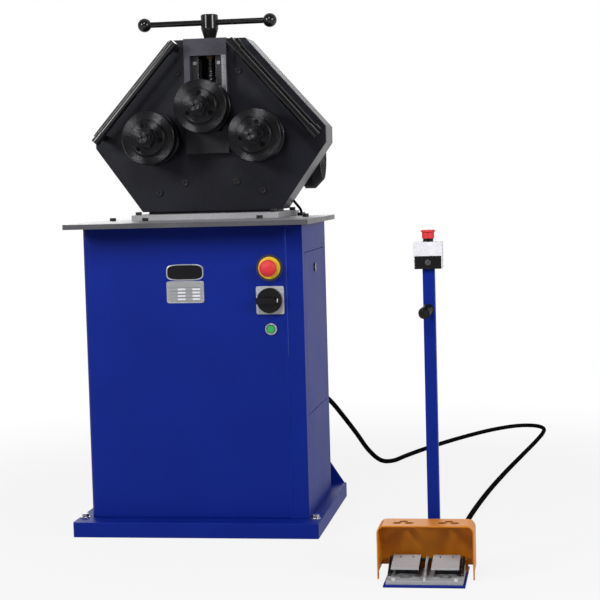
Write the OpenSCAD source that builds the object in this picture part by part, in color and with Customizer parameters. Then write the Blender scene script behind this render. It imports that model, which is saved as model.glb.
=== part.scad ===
// Angle roll bender: a blue cabinet with a three-roll head on its table, and a foot
// station with two pedals that stands beside it at the end of its control cable.
// Origin at the centre of the base on the floor, X to the right, Y to the back, Z up.

/* [Base] */
// Reach of the base beyond the sides of the cabinet
base_side = 30; // [28:1:45]
// Depth of the base
base_d = 530; // [515:5:580]
// Height of the base
base_h = 36; // [30:1:50]
// Sheet thickness of the base, the cabinet and the guard
sheet = 3; // [2:0.5:4]
// Radius of the floor anchor holes
anchor_r = 6.5; // [5:0.5:8]

/* [Cabinet] */
// Width of the cabinet
cabinet_w = 540; // [520:2:544]
// Depth of the cabinet
cabinet_d = 384; // [376:2:400]
// Height of the cabinet above the base
cabinet_h = 707; // [680:5:760]
// Distance of the cabinet front behind the base front
cabinet_setback = 59; // [50:1:70]
// Outer radius of the left front bend
bend_r = 20; // [12:1:30]
// Width of the right panel's return on the front
front_return = 40; // [30:1:50]
// Width of the inner flanges
flange_w = 25; // [15:1:35]

/* [Side door] */
// Width of the tilt-out door
door_w = 314; // [260:2:320]
// Height of the tilt-out door
door_h = 392; // [300:2:400]
// Height of the door's lower edge above the base
door_rise = 244; // [220:2:280]

/* [Table] */
// Overhang of the table beyond the sides of the cabinet
table_side = 25; // [15:1:40]
// Depth of the table plate
table_d = 490; // [480:5:530]
// Thickness of the table plate
table_t = 12; // [8:1:20]
// Overhang of the table in front of the cabinet
table_overhang = 79; // [60:1:90]
// Radius of the table corners
table_corner_r = 12; // [5:1:30]

/* [Head] */
// Distance of the head's front face in front of the table's back edge
head_inset = 155; // [145:1:165]
// Thickness of the front and back plates
plate_t = 16; // [15.6:0.2:20]
// Depth of the rim between the plates
rim_d = 88; // [86:1:100]
// Wall of the rim
rim_wall = 12; // [8:1:16]
// Width of the head at the top
head_top_w = 198; // [180:2:220]
// Width of the head at its side edges
head_mid_w = 596; // [580:2:620]
// Width of the head at the bottom
head_foot_w = 360; // [340:2:380]
// Height of the head plates
head_h = 433; // [428:1:450]
// Height of the lower side corners above the head's foot
head_low_h = 165; // [150:1:180]
// Length of the upright side edges
head_side_h = 41; // [30:1:60]
// Gap between the plates and the head base plate
head_gap = 6; // [2:1:10]
// Thickness of the head base plate
foot_t = 14; // [10:1:20]

/* [Rolls] */
// Radius of the roll rings
roll_r = 67; // [62:0.5:70]
// Width of the front roll ring
ring_front_w = 31; // [24:1:34]
// Width of the spacer between the rings
ring_gap_w = 21; // [12:1:24]
// Width of the rear roll ring
ring_rear_w = 26; // [20:1:28]
// Radius of the spacer between the rings
spacer_r = 46; // [40:1:52]
// Radius of the roll seat on the shafts
seat_r = 18; // [16:0.5:19]
// Radius of the shaft journals
journal_r = 20; // [19.5:0.5:21]
// Height of the lower roll axes above the head's foot
roll_axis_h = 185; // [180:1:190]
// Rise of the top roll axis above the lower axes at rest
top_rise = 75; // [73:1:85]
// Travel of the top slide
slide_travel = 70; // [40:1:72]

/* [Gear train] */
// Gear module
gear_module = 4; // [3.8:0.05:4.1]
// Teeth of each shaft gear
gear_teeth = 44; // [44]
// Teeth of the drive pinion
pinion_teeth = 23; // [23]
// Face width of the gears
gear_w = 22; // [14:1:24]

/* [Drive] */
// Radius of the motor body over its fins
motor_r = 80; // [70:1:82]
// Length of the motor body
motor_len = 122; // [100:1:125]
// Radius of the fan cowl
cowl_r = 86; // [83:1:88]
// Length of the fan cowl
cowl_len = 47; // [40:1:55]
// Distance between the gearbox output and the motor axis
worm_drop = 50; // [45:1:55]
// Distance of the motor axis behind the head
motor_setback = 94; // [92:1:110]

/* [T-handle] */
// Length of the handle bar between the ball centres
handle_span = 326; // [240:2:360]
// Radius of the handle bar
handle_bar_r = 7.5; // [5:0.5:8]
// Radius of the handle balls
ball_r = 18; // [12:0.5:20]
// Radius of the lifting screw
screw_r = 13; // [11:0.5:14]

/* [Guide bars] */
// Distance of the guide bars from the slanted edges
guide_inset = 29; // [24:1:32]
// Distance of the guide bars in front of the plate
guide_reach = 60; // [54:1:80]
// Radius of the guide bars
guide_r = 9; // [6:0.5:10]
// Length of the guide bars
guide_len = 324; // [280:2:330]

/* [Foot station] */
// Place of the foot station to the right of the machine
station_x = 584; // [560:1:630]
// Place of the foot station's front edge
station_front = -712; // [-760:1:-700]
// Width of the station base plate
stand_w = 170; // [166:1:200]
// Depth of the station base plate
stand_d = 177; // [172:1:200]
// Width of the guard
guard_w = 204; // [195:1:230]
// Height of the guard
guard_h = 118; // [100:1:140]
// Depth of the guard
guard_d = 74; // [66:1:80]
// Height of the column
column_h = 651; // [500:5:800]
// Width of the square column
column_w = 25; // [20:1:30]
// Place of the column to the right of the station's middle
column_shift = 12; // [0:1:20]
// Width of the remote box
box_w = 60; // [50:1:70]
// Depth of the remote box
box_d = 40; // [36:1:56]
// Height of the remote box
box_h = 57; // [50:1:80]
// Width of each pedal
pedal_w = 58; // [50:1:60]
// Length of each pedal
pedal_len = 78; // [60:1:80]

/* [Hidden] */
$fn = 64;

// Shared clearances
overrun = 1;
run_fit = 0.05;
seat_fit = 0.02;
slide_fit = 0.3;
panel_gap = 1.5;
stop_gap = 0.5;

// Levels and edges of the stand
cab_front = cabinet_setback - base_d / 2;
cab_back = cab_front + cabinet_d;
cab_mid = (cab_front + cab_back) / 2;
cab_top = base_h + cabinet_h;
cab_half = cabinet_w / 2;
base_w = cabinet_w + 2 * base_side;
seam_x = cab_half - front_return;
seam_gap = 0.4;
anchor_x = cab_half + base_side / 2;
anchor_front = cab_front;
anchor_back_inset = 33;
anchor_back = base_d / 2 - anchor_back_inset;
base_corner_r = 6;
upstand_h = 60;
upstand_run = 45;
sleeve_wall = 4;
floor_bolt_r = 9;
floor_bolt_h = 8;
floor_washer_r = 12;
floor_washer_t = 2.5;
door_low = base_h + door_rise;
door_high = door_low + door_h;
door_rim = 10;
tab_w = 30;
tab_drop = 12;
tab_spread_share = 0.32;
lock_r = 11;
lock_barrel_r = 8;
lock_proud = 3;
lock_drop = 42;
lock_tongue = 50;
lock_notch = 2;
lock_tongue_w = 12;
lock_slot_w = 2.5;
lock_slot_d = 1.5;
lock_z = door_high - lock_drop;
lock_reach = norm([lock_tongue, lock_tongue_w / 2]);
lock_swing = sqrt(lock_reach * lock_reach - (lock_drop - sheet) * (lock_drop - sheet)) + lock_notch;

// Electrics inside the cabinet
electrics_w = 240;
electrics_h = 320;
electrics_x = -60;
electrics_low = 300;
transformer = [90, 70, 90];
contactor = [45, 80, 85];
terminal_rail = [180, 35, 20];
electrics_margin = 20;

// Table and its screws
table_w = cabinet_w + 2 * table_side;
table_front = cab_front - table_overhang;
table_back = table_front + table_d;
table_top = cab_top + table_t;
cap_r = 8;
cap_h = 8;
socket_share = 0.55;
socket_depth_share = 0.6;
small_cap_r = 4.5;
small_cap_h = 4;
table_screw_shares = [0.84, 0.49];
table_screw_reach = 29;

// Front controls
control_inset = 80;
control_x = cab_half - control_inset;
estop_z = 640;
switch_z = 563;
button_z = 494;
panel_hole_r = 11;
estop_rim_r = 32;
estop_disc_r = 30;
estop_disc_t = 1.5;
estop_neck_r = 15;
estop_neck_h = 7;
estop_stem_r = 9;
estop_head_r = 20;
estop_head_h = 18;
estop_crown_r = 30;
estop_travel = 6;
block_w = 30;
block_h = 40;
block_d = 45;
switch_w = 67;
switch_t = 4;
switch_corner_r = 4;
knob_r = 30;
knob_h = 14;
knob_grip_len = 46;
knob_grip_w = 14;
knob_grip_h = 13;
knob_grip_reach = 30;
knob_spindle_r = 5;
bezel_r = 14.5;
bezel_h = 5;
bezel_chamfer = 1.5;
button_r = 11;
button_proud = 1.5;
button_len = 12;

// Levels of the head
head_front = table_back - head_inset;
rim_front = head_front + plate_t;
rim_back = rim_front + rim_d;
head_back = rim_back + plate_t;
foot_top = table_top + foot_t;
head_foot = foot_top + head_gap;
head_low = head_foot + head_low_h;
head_high = head_low + head_side_h;
head_top = head_foot + head_h;
upper_slope = (head_mid_w - head_top_w) / 2 / (head_top - head_high);
lower_slope = (head_mid_w - head_foot_w) / 2 / head_low_h;
foot_reach = 90;
foot_front = head_front - foot_reach;
foot_w = 374;
foot_rear_w = 400;
foot_rear_d = 55;
foot_screw_inset = 15;

// Roll train
centre_gap = gear_module * (gear_teeth + pinion_teeth) / 2;
low_z = head_foot + roll_axis_h;
top_z = low_z + top_rise;
slide_proud = 26;
slide_face = head_front - slide_proud;
roll_gap = 4;
roll_rear = slide_face - roll_gap;
ring_rear_front = roll_rear - ring_rear_w;
ring_gap_front = ring_rear_front - ring_gap_w;
roll_front = ring_gap_front - ring_front_w;
ring_chamfer = 2;
cap_disc_r = 44;
cap_disc_t = 10;
cap_front = roll_front - cap_disc_t;
cap_circle_r = 33;
roll_screw_r = 6.5;
roll_screw_h = 5.5;
counterbore = 6;
counterbore_gap = 0.5;
washer_r = 26;
washer_t = 4;
nut_r = 26.5;
nut_t = 22;
thread_r = 15;
stub_r = 13;
stub_len = 16;
thread_spare = 8;
centre_hole_r = 3.5;
centre_hole_d = 8;
washer_front = cap_front - washer_t;
nut_front = washer_front - nut_t;
thread_front = nut_front - thread_spare;
stub_front = thread_front - stub_len;
collar_r = 27;
bearing_r = 34;
bearing_w = 15;
cover_r = 46;
cover_t = 8;
cover_gap = 1;
rear_cover_t = 6;
gear_setback = 8;
gear_front = rim_back - gear_setback - gear_w;
tooth_add_share = 1;
tooth_ded_share = 1.25;
tooth_root_share = 0.28;
tooth_tip_share = 0.15;
pinion_shaft_r = 15;
pinion_nose = 6;
pinion_bore_len = 62;
plate_pass_r = 24;
roll_turns = [0, 20, -16];

// Top slide
slot_half = 42;
slot_drop = 60;
slot_low = top_z - slot_drop;
slot_bridge = 43;
slot_high = head_top - slot_bridge;
frame_half = 55;
frame_slot_half = 40;
frame_drop = 115;
frame_low = top_z - frame_drop;
strip_in = 22;
strip_out = 52;
strip_t = 6;
scale_w = 11;
scale_t = 1;
scale_edge = 2;
scale_rise = 40;
block_half = slot_half - slide_fit;
block_front = head_front + stop_gap;
block_reach = 52;
block_back = rim_front + block_reach;
block_drop = 48;
block_low = top_z - block_drop;
block_rise = 50;
block_high = top_z + block_rise;
keeper_t = 4;
rail_w = 20;
rail_lip = 4;
rail_lip_reach = 12;
bearing_setback = 2.5;
screw_setback = 42;
screw_y = head_front + screw_setback;
bush_r = 22;
bush_flange_r = 25;
bush_flange_t = 12;
lift_spare = 1;
bush_low = block_high + keeper_t + slide_travel + lift_spare;
hub_top_r = 22.5;
hub_foot_r = 14.5;
hub_h = 62;
hub_taper_share = 0.42;
hub_lift = 3;
bar_drop = 20;
bar_shift = -7;
thrust_r = 19;
thrust_t = 8;
keeper_half = 25;

front_screw_places = [[frame_half + 3 * cap_r, slot_high - 5 * cap_r], [centre_gap, head_foot + 6 * cap_r],
    [centre_gap / 2, head_foot + 9 * cap_r]];

// Guide bars
slant = [head_mid_w / 2 - head_top_w / 2, head_high - head_top];
slant_angle = atan2(-slant[1], slant[0]);
guide_start = -12;
collar_len = 32;
collar_out_r = 11;
post_r = 8;
post_inset = 16;
rear_bar_r = 5;
rear_bar_shift = 11;
rear_bar_reach = 40;
eye_r = 8;
eye_len = 14;

// Drive
output_z = low_z;
motor_z = output_z - worm_drop;
motor_y = head_back + motor_setback;
gear_flange_r = 62;
gear_flange_t = 12;
gear_drum_r = 56;
worm_tube_r = 50;
worm_left = 75;
worm_right = 78;
motor_flange_r = 72;
motor_flange_t = 12;
gear_block_half = 52;
gear_block_low = 30;
gear_block_d = 96;
motor_left = worm_right + motor_flange_t;
motor_right = motor_left + motor_len;
fin_count = 30;
fin_h = 10;
fin_drop = 1;
fin_share = 0.32;
shield_t = 14;
cowl_chamfer = 22;
slot_count = 14;
slot_w = 6;
slot_d = 3;
slot_in_r = 24;
terminal = [70, 70, 44];
terminal_setback = 5;
terminal_x = motor_left + terminal_setback;
terminal_saddle_share = 0.85;
gland_r = 9;
gland_len = 16;
gland_neck_r = 6.5;
terminal_gland_inset = 12;
lead_r = 3.5;
grommet_r = 10;
grommet_neck_r = 8;
grommet_h = 8;
grommet_x = 212;
grommet_setback = 2;
grommet_y = head_back - grommet_setback;

// Foot station
stand_t = 4;
stand_back = station_front + stand_d;
column_inset = 21;
column_y = stand_back - column_inset;
column_x = station_x + column_shift;
column_wall = 2;
guard_setback = 54;
guard_front = station_front + guard_setback;
guard_back = guard_front + guard_d;
guard_bend_r = 16;
guard_clear = 16;
guard_hole_r = 9;
guard_hole_pitch = 26;
guard_hole_shares = [[-0.5, -0.3], [0.5, -0.3], [0, 0.3]];
guard_hole_spread_share = 0.235;
guard_tip_w = 9;
pedal_frame_w = 160;
pedal_frame_setback = 9;
pedal_frame_t = 8;
pedal_gap = 42;
pivot_setback = 18;
pivot_y = guard_back - pivot_setback;
pivot_rise = 30;
pivot_z = stand_t + pivot_rise;
pivot_r = 3;
lug_w = 6;
lug_r = 8;
rib_w = 5;
rib_h = 36;
cheek_setback = 40;
contact_reach = 40;
contact_d = 30;
contact_h = 10;
pedal_barrel_r = 7;
pedal_rise = 12;
pedal_lip = 4;
frame_eye_r = 14;
box_corner_r = 2;
trim_t = 2;
trim_share = 0.48;
trim_boss_r = 7;
trim_boss_t = 1.5;
remote_neck_r = 11;
remote_neck_h = 7;
remote_stem_r = 6;
remote_body_r = 13;
remote_body_h = 14;
remote_rim_r = 15.5;
remote_rim_h = 4;
remote_travel = 5;
grip_r = 11;
grip_len = 52;
grip_ribs = 7;
grip_rib_share = 0.5;
grip_groove = 1.5;
grip_drop = 84;
grip_yaw = 12;
grip_tilt = 11;
box_top = column_h + box_h;

// Control cable, its glands and its hand-chosen route from the cabinet to the pedals
cable_r = 6.5;
cable_gland_r = 13;
cable_gland_len = 28;
cable_gland_z = 285;
cable_gland_inset = 45;
cable_gland_x = cab_half - cable_gland_inset;
pedal_gland_z = 40;
pedal_gland_shift = 49;
pedal_gland_x = station_x + pedal_gland_shift;
gland_dome_share = 0.8;
cable_sides = 10;
cable_steps = 3;
cable_hang = [[3, 44, -2], [13, 94, -17], [30, 146, -47], [52, 204, -93], [77, 272, -149]];
cable_turns = [[326, 560, 74], [350, 655, 28], [376, 755, 9], [408, 860, 7], [462, 1000, 7], [540, 1170, 7],
    [625, 1325, 7], [690, 1410, 7], [740, 1446, 7], [786, 1438, 7], [812, 1385, 7], [812, 1290, 7],
    [790, 1110, 7], [752, 850, 7], [710, 560, 7], [672, 260, 7], [643, -40, 7], [632, -280, 7],
    [631, -395, 10], [632, -478, 24]];
cable_start = [cable_gland_x, cab_back + cable_gland_len, cable_gland_z];
cable_end = [pedal_gland_x, guard_back + cable_gland_len, pedal_gland_z];
cable_route = concat([cable_start], [for (p = cable_hang) cable_start + p], cable_turns, [cable_end]);
lead_sides = 12;
lead_steps = 4;
lead_shares = [[0.02, 0.18, 0], [0.14, 0.36, 0.01], [0.36, 0.5, 0.06], [0.58, 0.66, 0.26],
    [0.78, 0.82, 0.54], [0.95, 0.96, 0.8]];

// Points of the six-sided head outline, drawn in by a wall
function hex_half(wall) =
    let (grow_up = sqrt(1 + upper_slope * upper_slope), grow_low = sqrt(1 + lower_slope * lower_slope),
        mid = head_mid_w / 2 - wall)
    [[head_top_w / 2 + wall * (upper_slope - grow_up), head_top - wall],
        [mid, head_top - (mid - head_top_w / 2 + wall * grow_up) / upper_slope],
        [mid, head_foot + (mid - head_foot_w / 2 + wall * grow_low) / lower_slope],
        [head_foot_w / 2 + wall * (lower_slope - grow_low), head_foot + wall]];
function mirrored(points) =
    concat(points, [for (i = [len(points) - 1 : -1 : 0]) [-points[i][0], points[i][1]]]);

// Toothed outline: four points for each tooth, with straight flanks
function toothed(count, root, tip, root_share, tip_share, turn) =
    [for (i = [0 : count - 1], s = [-root_share, -tip_share, tip_share, root_share])
        let (angle = (i + s) * 360 / count + turn, r = abs(s) == root_share ? root : tip)
        [r * cos(angle), r * sin(angle)]];
function gear_points(teeth, turn) =
    let (pitch_r = gear_module * teeth / 2)
    toothed(teeth, pitch_r - tooth_ded_share * gear_module, pitch_r + tooth_add_share * gear_module,
        tooth_root_share, tooth_tip_share, turn);

// Smooth curve through hand-chosen points, and a tube swept along it
function curve_point(a, b, c, d, t) =
    (2 * b + (c - a) * t + (2 * a - 5 * b + 4 * c - d) * t * t + (3 * b - a - 3 * c + d) * t * t * t) / 2;
function curve(points, steps) =
    let (last = len(points) - 1)
    concat([for (i = [0 : last - 1], k = [0 : steps - 1])
        curve_point(points[max(i - 1, 0)], points[i], points[i + 1], points[min(i + 2, last)], k / steps)],
        [points[last]]);
function unit(v) = v / norm(v);
function tube_points(path, r, sides, side_hint, first_dir, last_dir) =
    let (last = len(path) - 1)
    [for (i = [0 : last])
        let (dir = i == 0 ? first_dir : i == last ? last_dir : unit(path[i + 1] - path[i - 1]),
            across = unit(cross(dir, side_hint)), over = cross(across, dir))
        for (k = [0 : sides - 1])
            path[i] + r * (cos(360 * k / sides) * across + sin(360 * k / sides) * over)];
function tube_faces(rings, sides) =
    let (last = (rings - 1) * sides)
    concat([for (k = [1 : sides - 2]) [0, k + 1, k]],
        [for (i = [0 : rings - 2], k = [0 : sides - 1], half = [0, 1])
            let (a = i * sides + k, b = i * sides + (k + 1) % sides)
            half == 0 ? [a, b, a + sides] : [b, b + sides, a + sides]],
        [for (k = [1 : sides - 2]) [last, last + k, last + k + 1]]);

module tube(route, steps, r, sides, side_hint, first_dir, last_dir) {
    path = curve(route, steps);
    polyhedron(tube_points(path, r, sides, side_hint, first_dir, last_dir), tube_faces(len(path), sides));
}

// Flat rectangle with round corners, centred
module round_rect(w, d, r) {
    square([w - 2 * r, d], center = true);
    square([w, d - 2 * r], center = true);
    for (sx = [-1, 1], sy = [-1, 1])
        translate([sx * (w / 2 - r), sy * (d / 2 - r)])
            circle(r);
}

// Box from its low corner to its high corner
module span(low, high) {
    translate(low)
        cube(high - low);
}

// Half of a turned profile between two radii and two stations
module band(r_in, r_out, start, end) {
    translate([r_in, start])
        square([r_out - r_in, end - start]);
}

// Turned solids about axes along X, Y and Z
module turned_x(y, z) {
    translate([0, y, z])
        rotate([0, 90, 0])
            rotate_extrude()
                children();
}

module turned_y(x, z) {
    translate([x, 0, z])
        rotate([-90, 0, 0])
            rotate_extrude()
                children();
}

module turned_z(x, y) {
    translate([x, y, 0])
        rotate_extrude()
            children();
}

// Plate cut from an upright outline, from a front face backwards
module upright(front, t) {
    translate([0, front + t, 0])
        rotate([90, 0, 0])
            linear_extrude(t)
                children();
}

// Places a child so that its Z points out of the front
module facing_front(x, y, z) {
    translate([x, y, z])
        rotate([90, 0, 0])
            children();
}

// Head of a socket screw
module cap_screw(r, h) {
    difference() {
        cylinder(r = r, h = h);
        translate([0, 0, h * (1 - socket_depth_share)])
            cylinder(r = r * socket_share, h = h, $fn = 6);
    }
}

// Both sides of the head
module both_sides() {
    for (side = [0, 1])
        mirror([side, 0, 0])
            children();
}

module base_tray() {
    color("royalblue")
        difference() {
            union() {
                difference() {
                    linear_extrude(base_h)
                        round_rect(base_w, base_d, base_corner_r);
                    translate([0, 0, sheet])
                        linear_extrude(base_h - 2 * sheet)
                            square([base_w - 2 * sheet, base_d - 2 * sheet], center = true);
                }
                upright(base_d / 2 - sheet, sheet)
                    polygon(mirrored([[base_w / 2 - upstand_run, base_h + upstand_h],
                        [base_w / 2 - base_corner_r, base_h], [base_w / 2 - base_corner_r, base_h - sheet]]));
                for (x = [-anchor_x, anchor_x], y = [anchor_front, anchor_back])
                    translate([x, y, sheet / 2])
                        cylinder(r = anchor_r + sleeve_wall, h = base_h - sheet);
            }
            for (x = [-anchor_x, anchor_x], y = [anchor_front, anchor_back])
                translate([x, y, -overrun])
                    cylinder(r = anchor_r, h = base_h + 2 * overrun);
        }
}

module floor_bolts() {
    color("silver")
        for (x = [-anchor_x, anchor_x])
            translate([x, anchor_front, base_h]) {
                cylinder(r = floor_washer_r, h = floor_washer_t);
                translate([0, 0, floor_washer_t])
                    cylinder(r = floor_bolt_r, h = floor_bolt_h, $fn = 6);
                translate([0, 0, -base_h])
                    cylinder(r = anchor_r - slide_fit, h = base_h);
            }
}

// Bent strip of the cabinet wrap: front, left bend and left side
module wrap_outline(t, r) {
    translate([-cab_half + r, cab_front])
        square([seam_x - seam_gap + cab_half - r, t]);
    translate([-cab_half, cab_front + r])
        square([t, cabinet_d - r]);
    translate([-cab_half + r, cab_front + r])
        difference() {
            intersection() {
                circle(r);
                translate([-r, -r])
                    square(r);
            }
            circle(r - t);
        }
}

module cabinet_wrap() {
    color("mediumblue")
        difference() {
            union() {
                translate([0, 0, base_h])
                    linear_extrude(cabinet_h)
                        wrap_outline(sheet, bend_r);
                span([-cab_half, cab_back - 2 * sheet, base_h],
                    [-cab_half + sheet + flange_w, cab_back - sheet, cab_top]);
                span([-cab_half + bend_r, cab_front, cab_top - sheet],
                    [seam_x - seam_gap, cab_front + sheet + flange_w, cab_top]);
                span([-cab_half, cab_front + bend_r, cab_top - sheet],
                    [-cab_half + sheet + flange_w, cab_back - sheet, cab_top]);
            }
            for (z = [estop_z, switch_z])
                facing_front(control_x, cab_front + sheet + overrun, z)
                    cylinder(r = panel_hole_r, h = sheet + 2 * overrun);
            facing_front(control_x, cab_front + sheet + overrun, button_z)
                cylinder(r = button_r + slide_fit, h = sheet + 2 * overrun);
        }
}

module cabinet_side() {
    color("mediumblue")
        difference() {
            union() {
                span([cab_half - sheet, cab_front, base_h], [cab_half, cab_back, cab_top]);
                span([seam_x, cab_front, base_h], [cab_half, cab_front + sheet, cab_top]);
                span([cab_half - sheet - flange_w, cab_back - 2 * sheet, base_h],
                    [cab_half, cab_back - sheet, cab_top]);
                span([cab_half - sheet - flange_w, cab_front, cab_top - sheet],
                    [cab_half, cab_back - 2 * sheet, cab_top]);
            }
            span([cab_half - sheet - overrun, cab_mid - door_w / 2 - panel_gap, door_low - run_fit],
                [cab_half + overrun, cab_mid + door_w / 2 + panel_gap, door_high + panel_gap]);
        }
}

module back_panel() {
    color("mediumblue")
        difference() {
            span([-cab_half + sheet + seam_gap, cab_back - sheet, base_h],
                [cab_half - sheet - seam_gap, cab_back, cab_top]);
            translate([cable_gland_x, cab_back - sheet - overrun, cable_gland_z])
                rotate([-90, 0, 0])
                    cylinder(r = cable_gland_r - sheet, h = sheet + 2 * overrun);
        }
}

module electrics_plate() {
    face = cab_back - 2 * sheet;
    left = electrics_x - electrics_w / 2;
    shelf = electrics_low + electrics_margin;
    upper = shelf + transformer[2] + electrics_margin;
    rail_low = upper + contactor[2] + electrics_margin;
    color("gainsboro") {
        span([left, face, electrics_low],
            [left + electrics_w, cab_back - sheet, electrics_low + electrics_h]);
        span([left + electrics_margin, face - transformer[1], shelf],
            [left + electrics_margin + transformer[0], face, shelf + transformer[2]]);
        for (i = [0, 1])
            translate([left + electrics_margin + i * (contactor[0] + electrics_margin), face - contactor[1],
                upper])
                cube(contactor);
        span([left + electrics_margin, face - terminal_rail[1], rail_low],
            [left + electrics_margin + terminal_rail[0], face, rail_low + terminal_rail[2]]);
    }
}

module side_door() {
    low = [cab_half - sheet, cab_mid - door_w / 2, door_low];
    inner = cab_half - sheet;
    color("mediumblue")
        difference() {
            union() {
                upright(low[1], door_w)
                    translate([inner, door_low + sheet]) {
                        square([sheet, door_h - sheet]);
                        circle(sheet);
                    }
                difference() {
                    span([inner - door_rim, low[1], door_low], [inner, low[1] + door_w, door_high]);
                    span([inner - door_rim - overrun, low[1] + sheet, door_low + sheet],
                        [inner, low[1] + door_w - sheet, door_high - sheet]);
                }
                for (s = [-1, 1])
                    translate([inner - sheet - run_fit, cab_mid + s * tab_spread_share * door_w - tab_w / 2,
                        door_low - tab_drop])
                        cube([sheet, tab_w, tab_drop + sheet]);
            }
            span([inner - sheet - lock_notch, cab_mid - lock_swing, door_high - sheet - overrun],
                [inner, cab_mid + lock_tongue_w, door_high + overrun]);
            translate([inner - overrun, cab_mid, lock_z])
                rotate([0, 90, 0])
                    cylinder(r = lock_barrel_r + run_fit, h = sheet + 2 * overrun);
        }
}

module door_lock() {
    inner = cab_half - sheet;
    color("dimgray")
        difference() {
            union() {
                turned_x(cab_mid, lock_z) {
                    band(0, lock_r, cab_half + slide_fit, cab_half + lock_proud);
                    band(0, lock_barrel_r, inner - sheet - stop_gap, cab_half + lock_proud);
                }
                span([inner - sheet - stop_gap, cab_mid - lock_tongue, lock_z - lock_tongue_w / 2],
                    [inner - stop_gap, cab_mid, lock_z + lock_tongue_w / 2]);
            }
            span([cab_half + lock_proud - lock_slot_d, cab_mid - lock_r, lock_z - lock_slot_w / 2],
                [cab_half + lock_proud + overrun, cab_mid + lock_r, lock_z + lock_slot_w / 2]);
        }
}

module table_plate() {
    color("darkgray")
        translate([0, table_front + table_d / 2, cab_top])
            difference() {
                linear_extrude(table_t)
                    round_rect(table_w, table_d, table_corner_r);
                translate([grommet_x, grommet_y - table_front - table_d / 2, -overrun])
                    cylinder(r = grommet_neck_r + seat_fit, h = table_t + 2 * overrun);
            }
}

module machine_screws() {
    color("black") {
        both_sides() {
            for (p = [[table_screw_shares[0] * table_w / 2, foot_front + foot_reach / 2],
                [table_screw_shares[1] * table_w / 2, foot_front - table_screw_reach]])
                translate([p[0], p[1], table_top])
                    cap_screw(cap_r, cap_h);
            translate([foot_w / 2 - foot_screw_inset, foot_front + foot_screw_inset, foot_top])
                cap_screw(cap_r, cap_h);
            translate([foot_rear_w / 2 - foot_screw_inset, table_back - foot_screw_inset, foot_top])
                cap_screw(cap_r, cap_h);
            for (p = front_screw_places)
                facing_front(p[0], head_front, p[1])
                    cap_screw(cap_r, cap_h / 2);
        }
    }
}

module estop_collar() {
    color("gold")
        translate([control_x, 0, 0])
            difference() {
                union() {
                    turned_y(0, estop_z) {
                        band(0, estop_rim_r, cab_front - estop_disc_t, cab_front);
                        band(0, estop_disc_r, cab_front - 2 * estop_disc_t, cab_front);
                        band(0, estop_neck_r, cab_front - 2 * estop_disc_t - estop_neck_h, cab_front);
                        band(0, panel_hole_r - seat_fit, cab_front - estop_disc_t, cab_front + sheet);
                    }
                    span([-block_w / 2, cab_front + sheet, estop_z - block_h / 2],
                        [block_w / 2, cab_front + sheet + block_d, estop_z + block_h / 2]);
                }
                facing_front(0, cab_front + sheet + estop_travel + stop_gap, estop_z)
                    cylinder(r = estop_stem_r + run_fit, h = block_d);
            }
}

module estop_mushroom() {
    face = cab_front - 2 * estop_disc_t - estop_neck_h - estop_travel - stop_gap;
    color("red")
        facing_front(control_x, 0, estop_z)
            rotate_extrude() {
                band(0, estop_stem_r, -cab_front - sheet + stop_gap, -face);
                translate([0, -face])
                    intersection() {
                        translate([0, estop_head_h - estop_crown_r])
                            circle(estop_crown_r);
                        square([estop_head_r, estop_head_h]);
                    }
            }
}

module switch_plate() {
    color("lightgray")
        difference() {
            union() {
                facing_front(control_x, cab_front, switch_z)
                    linear_extrude(switch_t)
                        round_rect(switch_w, switch_w, switch_corner_r);
                facing_front(control_x, cab_front + sheet, switch_z)
                    cylinder(r = panel_hole_r - seat_fit, h = sheet + switch_t / 2);
                span([control_x - block_w / 2, cab_front + sheet, switch_z - block_w / 2],
                    [control_x + block_w / 2, cab_front + sheet + block_d, switch_z + block_w / 2]);
            }
            facing_front(control_x, cab_front + block_d / 2, switch_z)
                cylinder(r = knob_spindle_r + run_fit, h = block_d);
        }
}

module switch_knob() {
    base = switch_t + slide_fit;
    color("black")
        facing_front(control_x, cab_front, switch_z) {
            rotate_extrude() {
                band(0, knob_r, base, base + knob_h - bezel_chamfer);
                band(0, knob_r - bezel_chamfer, base, base + knob_h);
                band(0, knob_spindle_r, -sheet, base + knob_h);
            }
            translate([-knob_grip_reach, -knob_grip_w / 2, base + knob_h / 2])
                cube([knob_grip_len - knob_grip_w / 2, knob_grip_w, knob_h / 2 + knob_grip_h]);
            translate([knob_grip_len - knob_grip_w / 2 - knob_grip_reach, 0, base + knob_h / 2])
                cylinder(r = knob_grip_w / 2, h = knob_h / 2 + knob_grip_h);
        }
}

module button_bezel() {
    color("silver")
        turned_y(control_x, button_z) {
            polygon([[button_r + run_fit, cab_front], [button_r + run_fit, cab_front - bezel_h],
                [bezel_r - bezel_chamfer, cab_front - bezel_h],
                [bezel_r, cab_front - bezel_h + bezel_chamfer], [bezel_r, cab_front]]);
        }
}

module start_button() {
    front = cab_front - bezel_h - button_proud;
    color("limegreen")
        turned_y(control_x, button_z) {
            band(0, button_r, front + bezel_chamfer, cab_front - stop_gap);
            band(0, button_r - bezel_chamfer, front, front + button_len);
        }
}

module head_base_plate() {
    front_part = table_back - foot_rear_d - foot_front;
    color("gray")
        translate([0, 0, table_top])
            linear_extrude(foot_t) {
                translate([-foot_w / 2, foot_front])
                    square([foot_w, front_part]);
                translate([-foot_rear_w / 2, table_back - foot_rear_d])
                    square([foot_rear_w, foot_rear_d]);
            }
}

module front_plate() {
    color("dimgray")
        difference() {
            upright(head_front, plate_t)
                polygon(mirrored(hex_half(0)));
            span([-slot_half, head_front - overrun, slot_low], [slot_half, rim_front + overrun, slot_high]);
            for (x = [-centre_gap, centre_gap])
                turned_y(x, low_z)
                    band(0, bearing_r + seat_fit, head_front - overrun, rim_front + overrun);
        }
}

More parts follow.
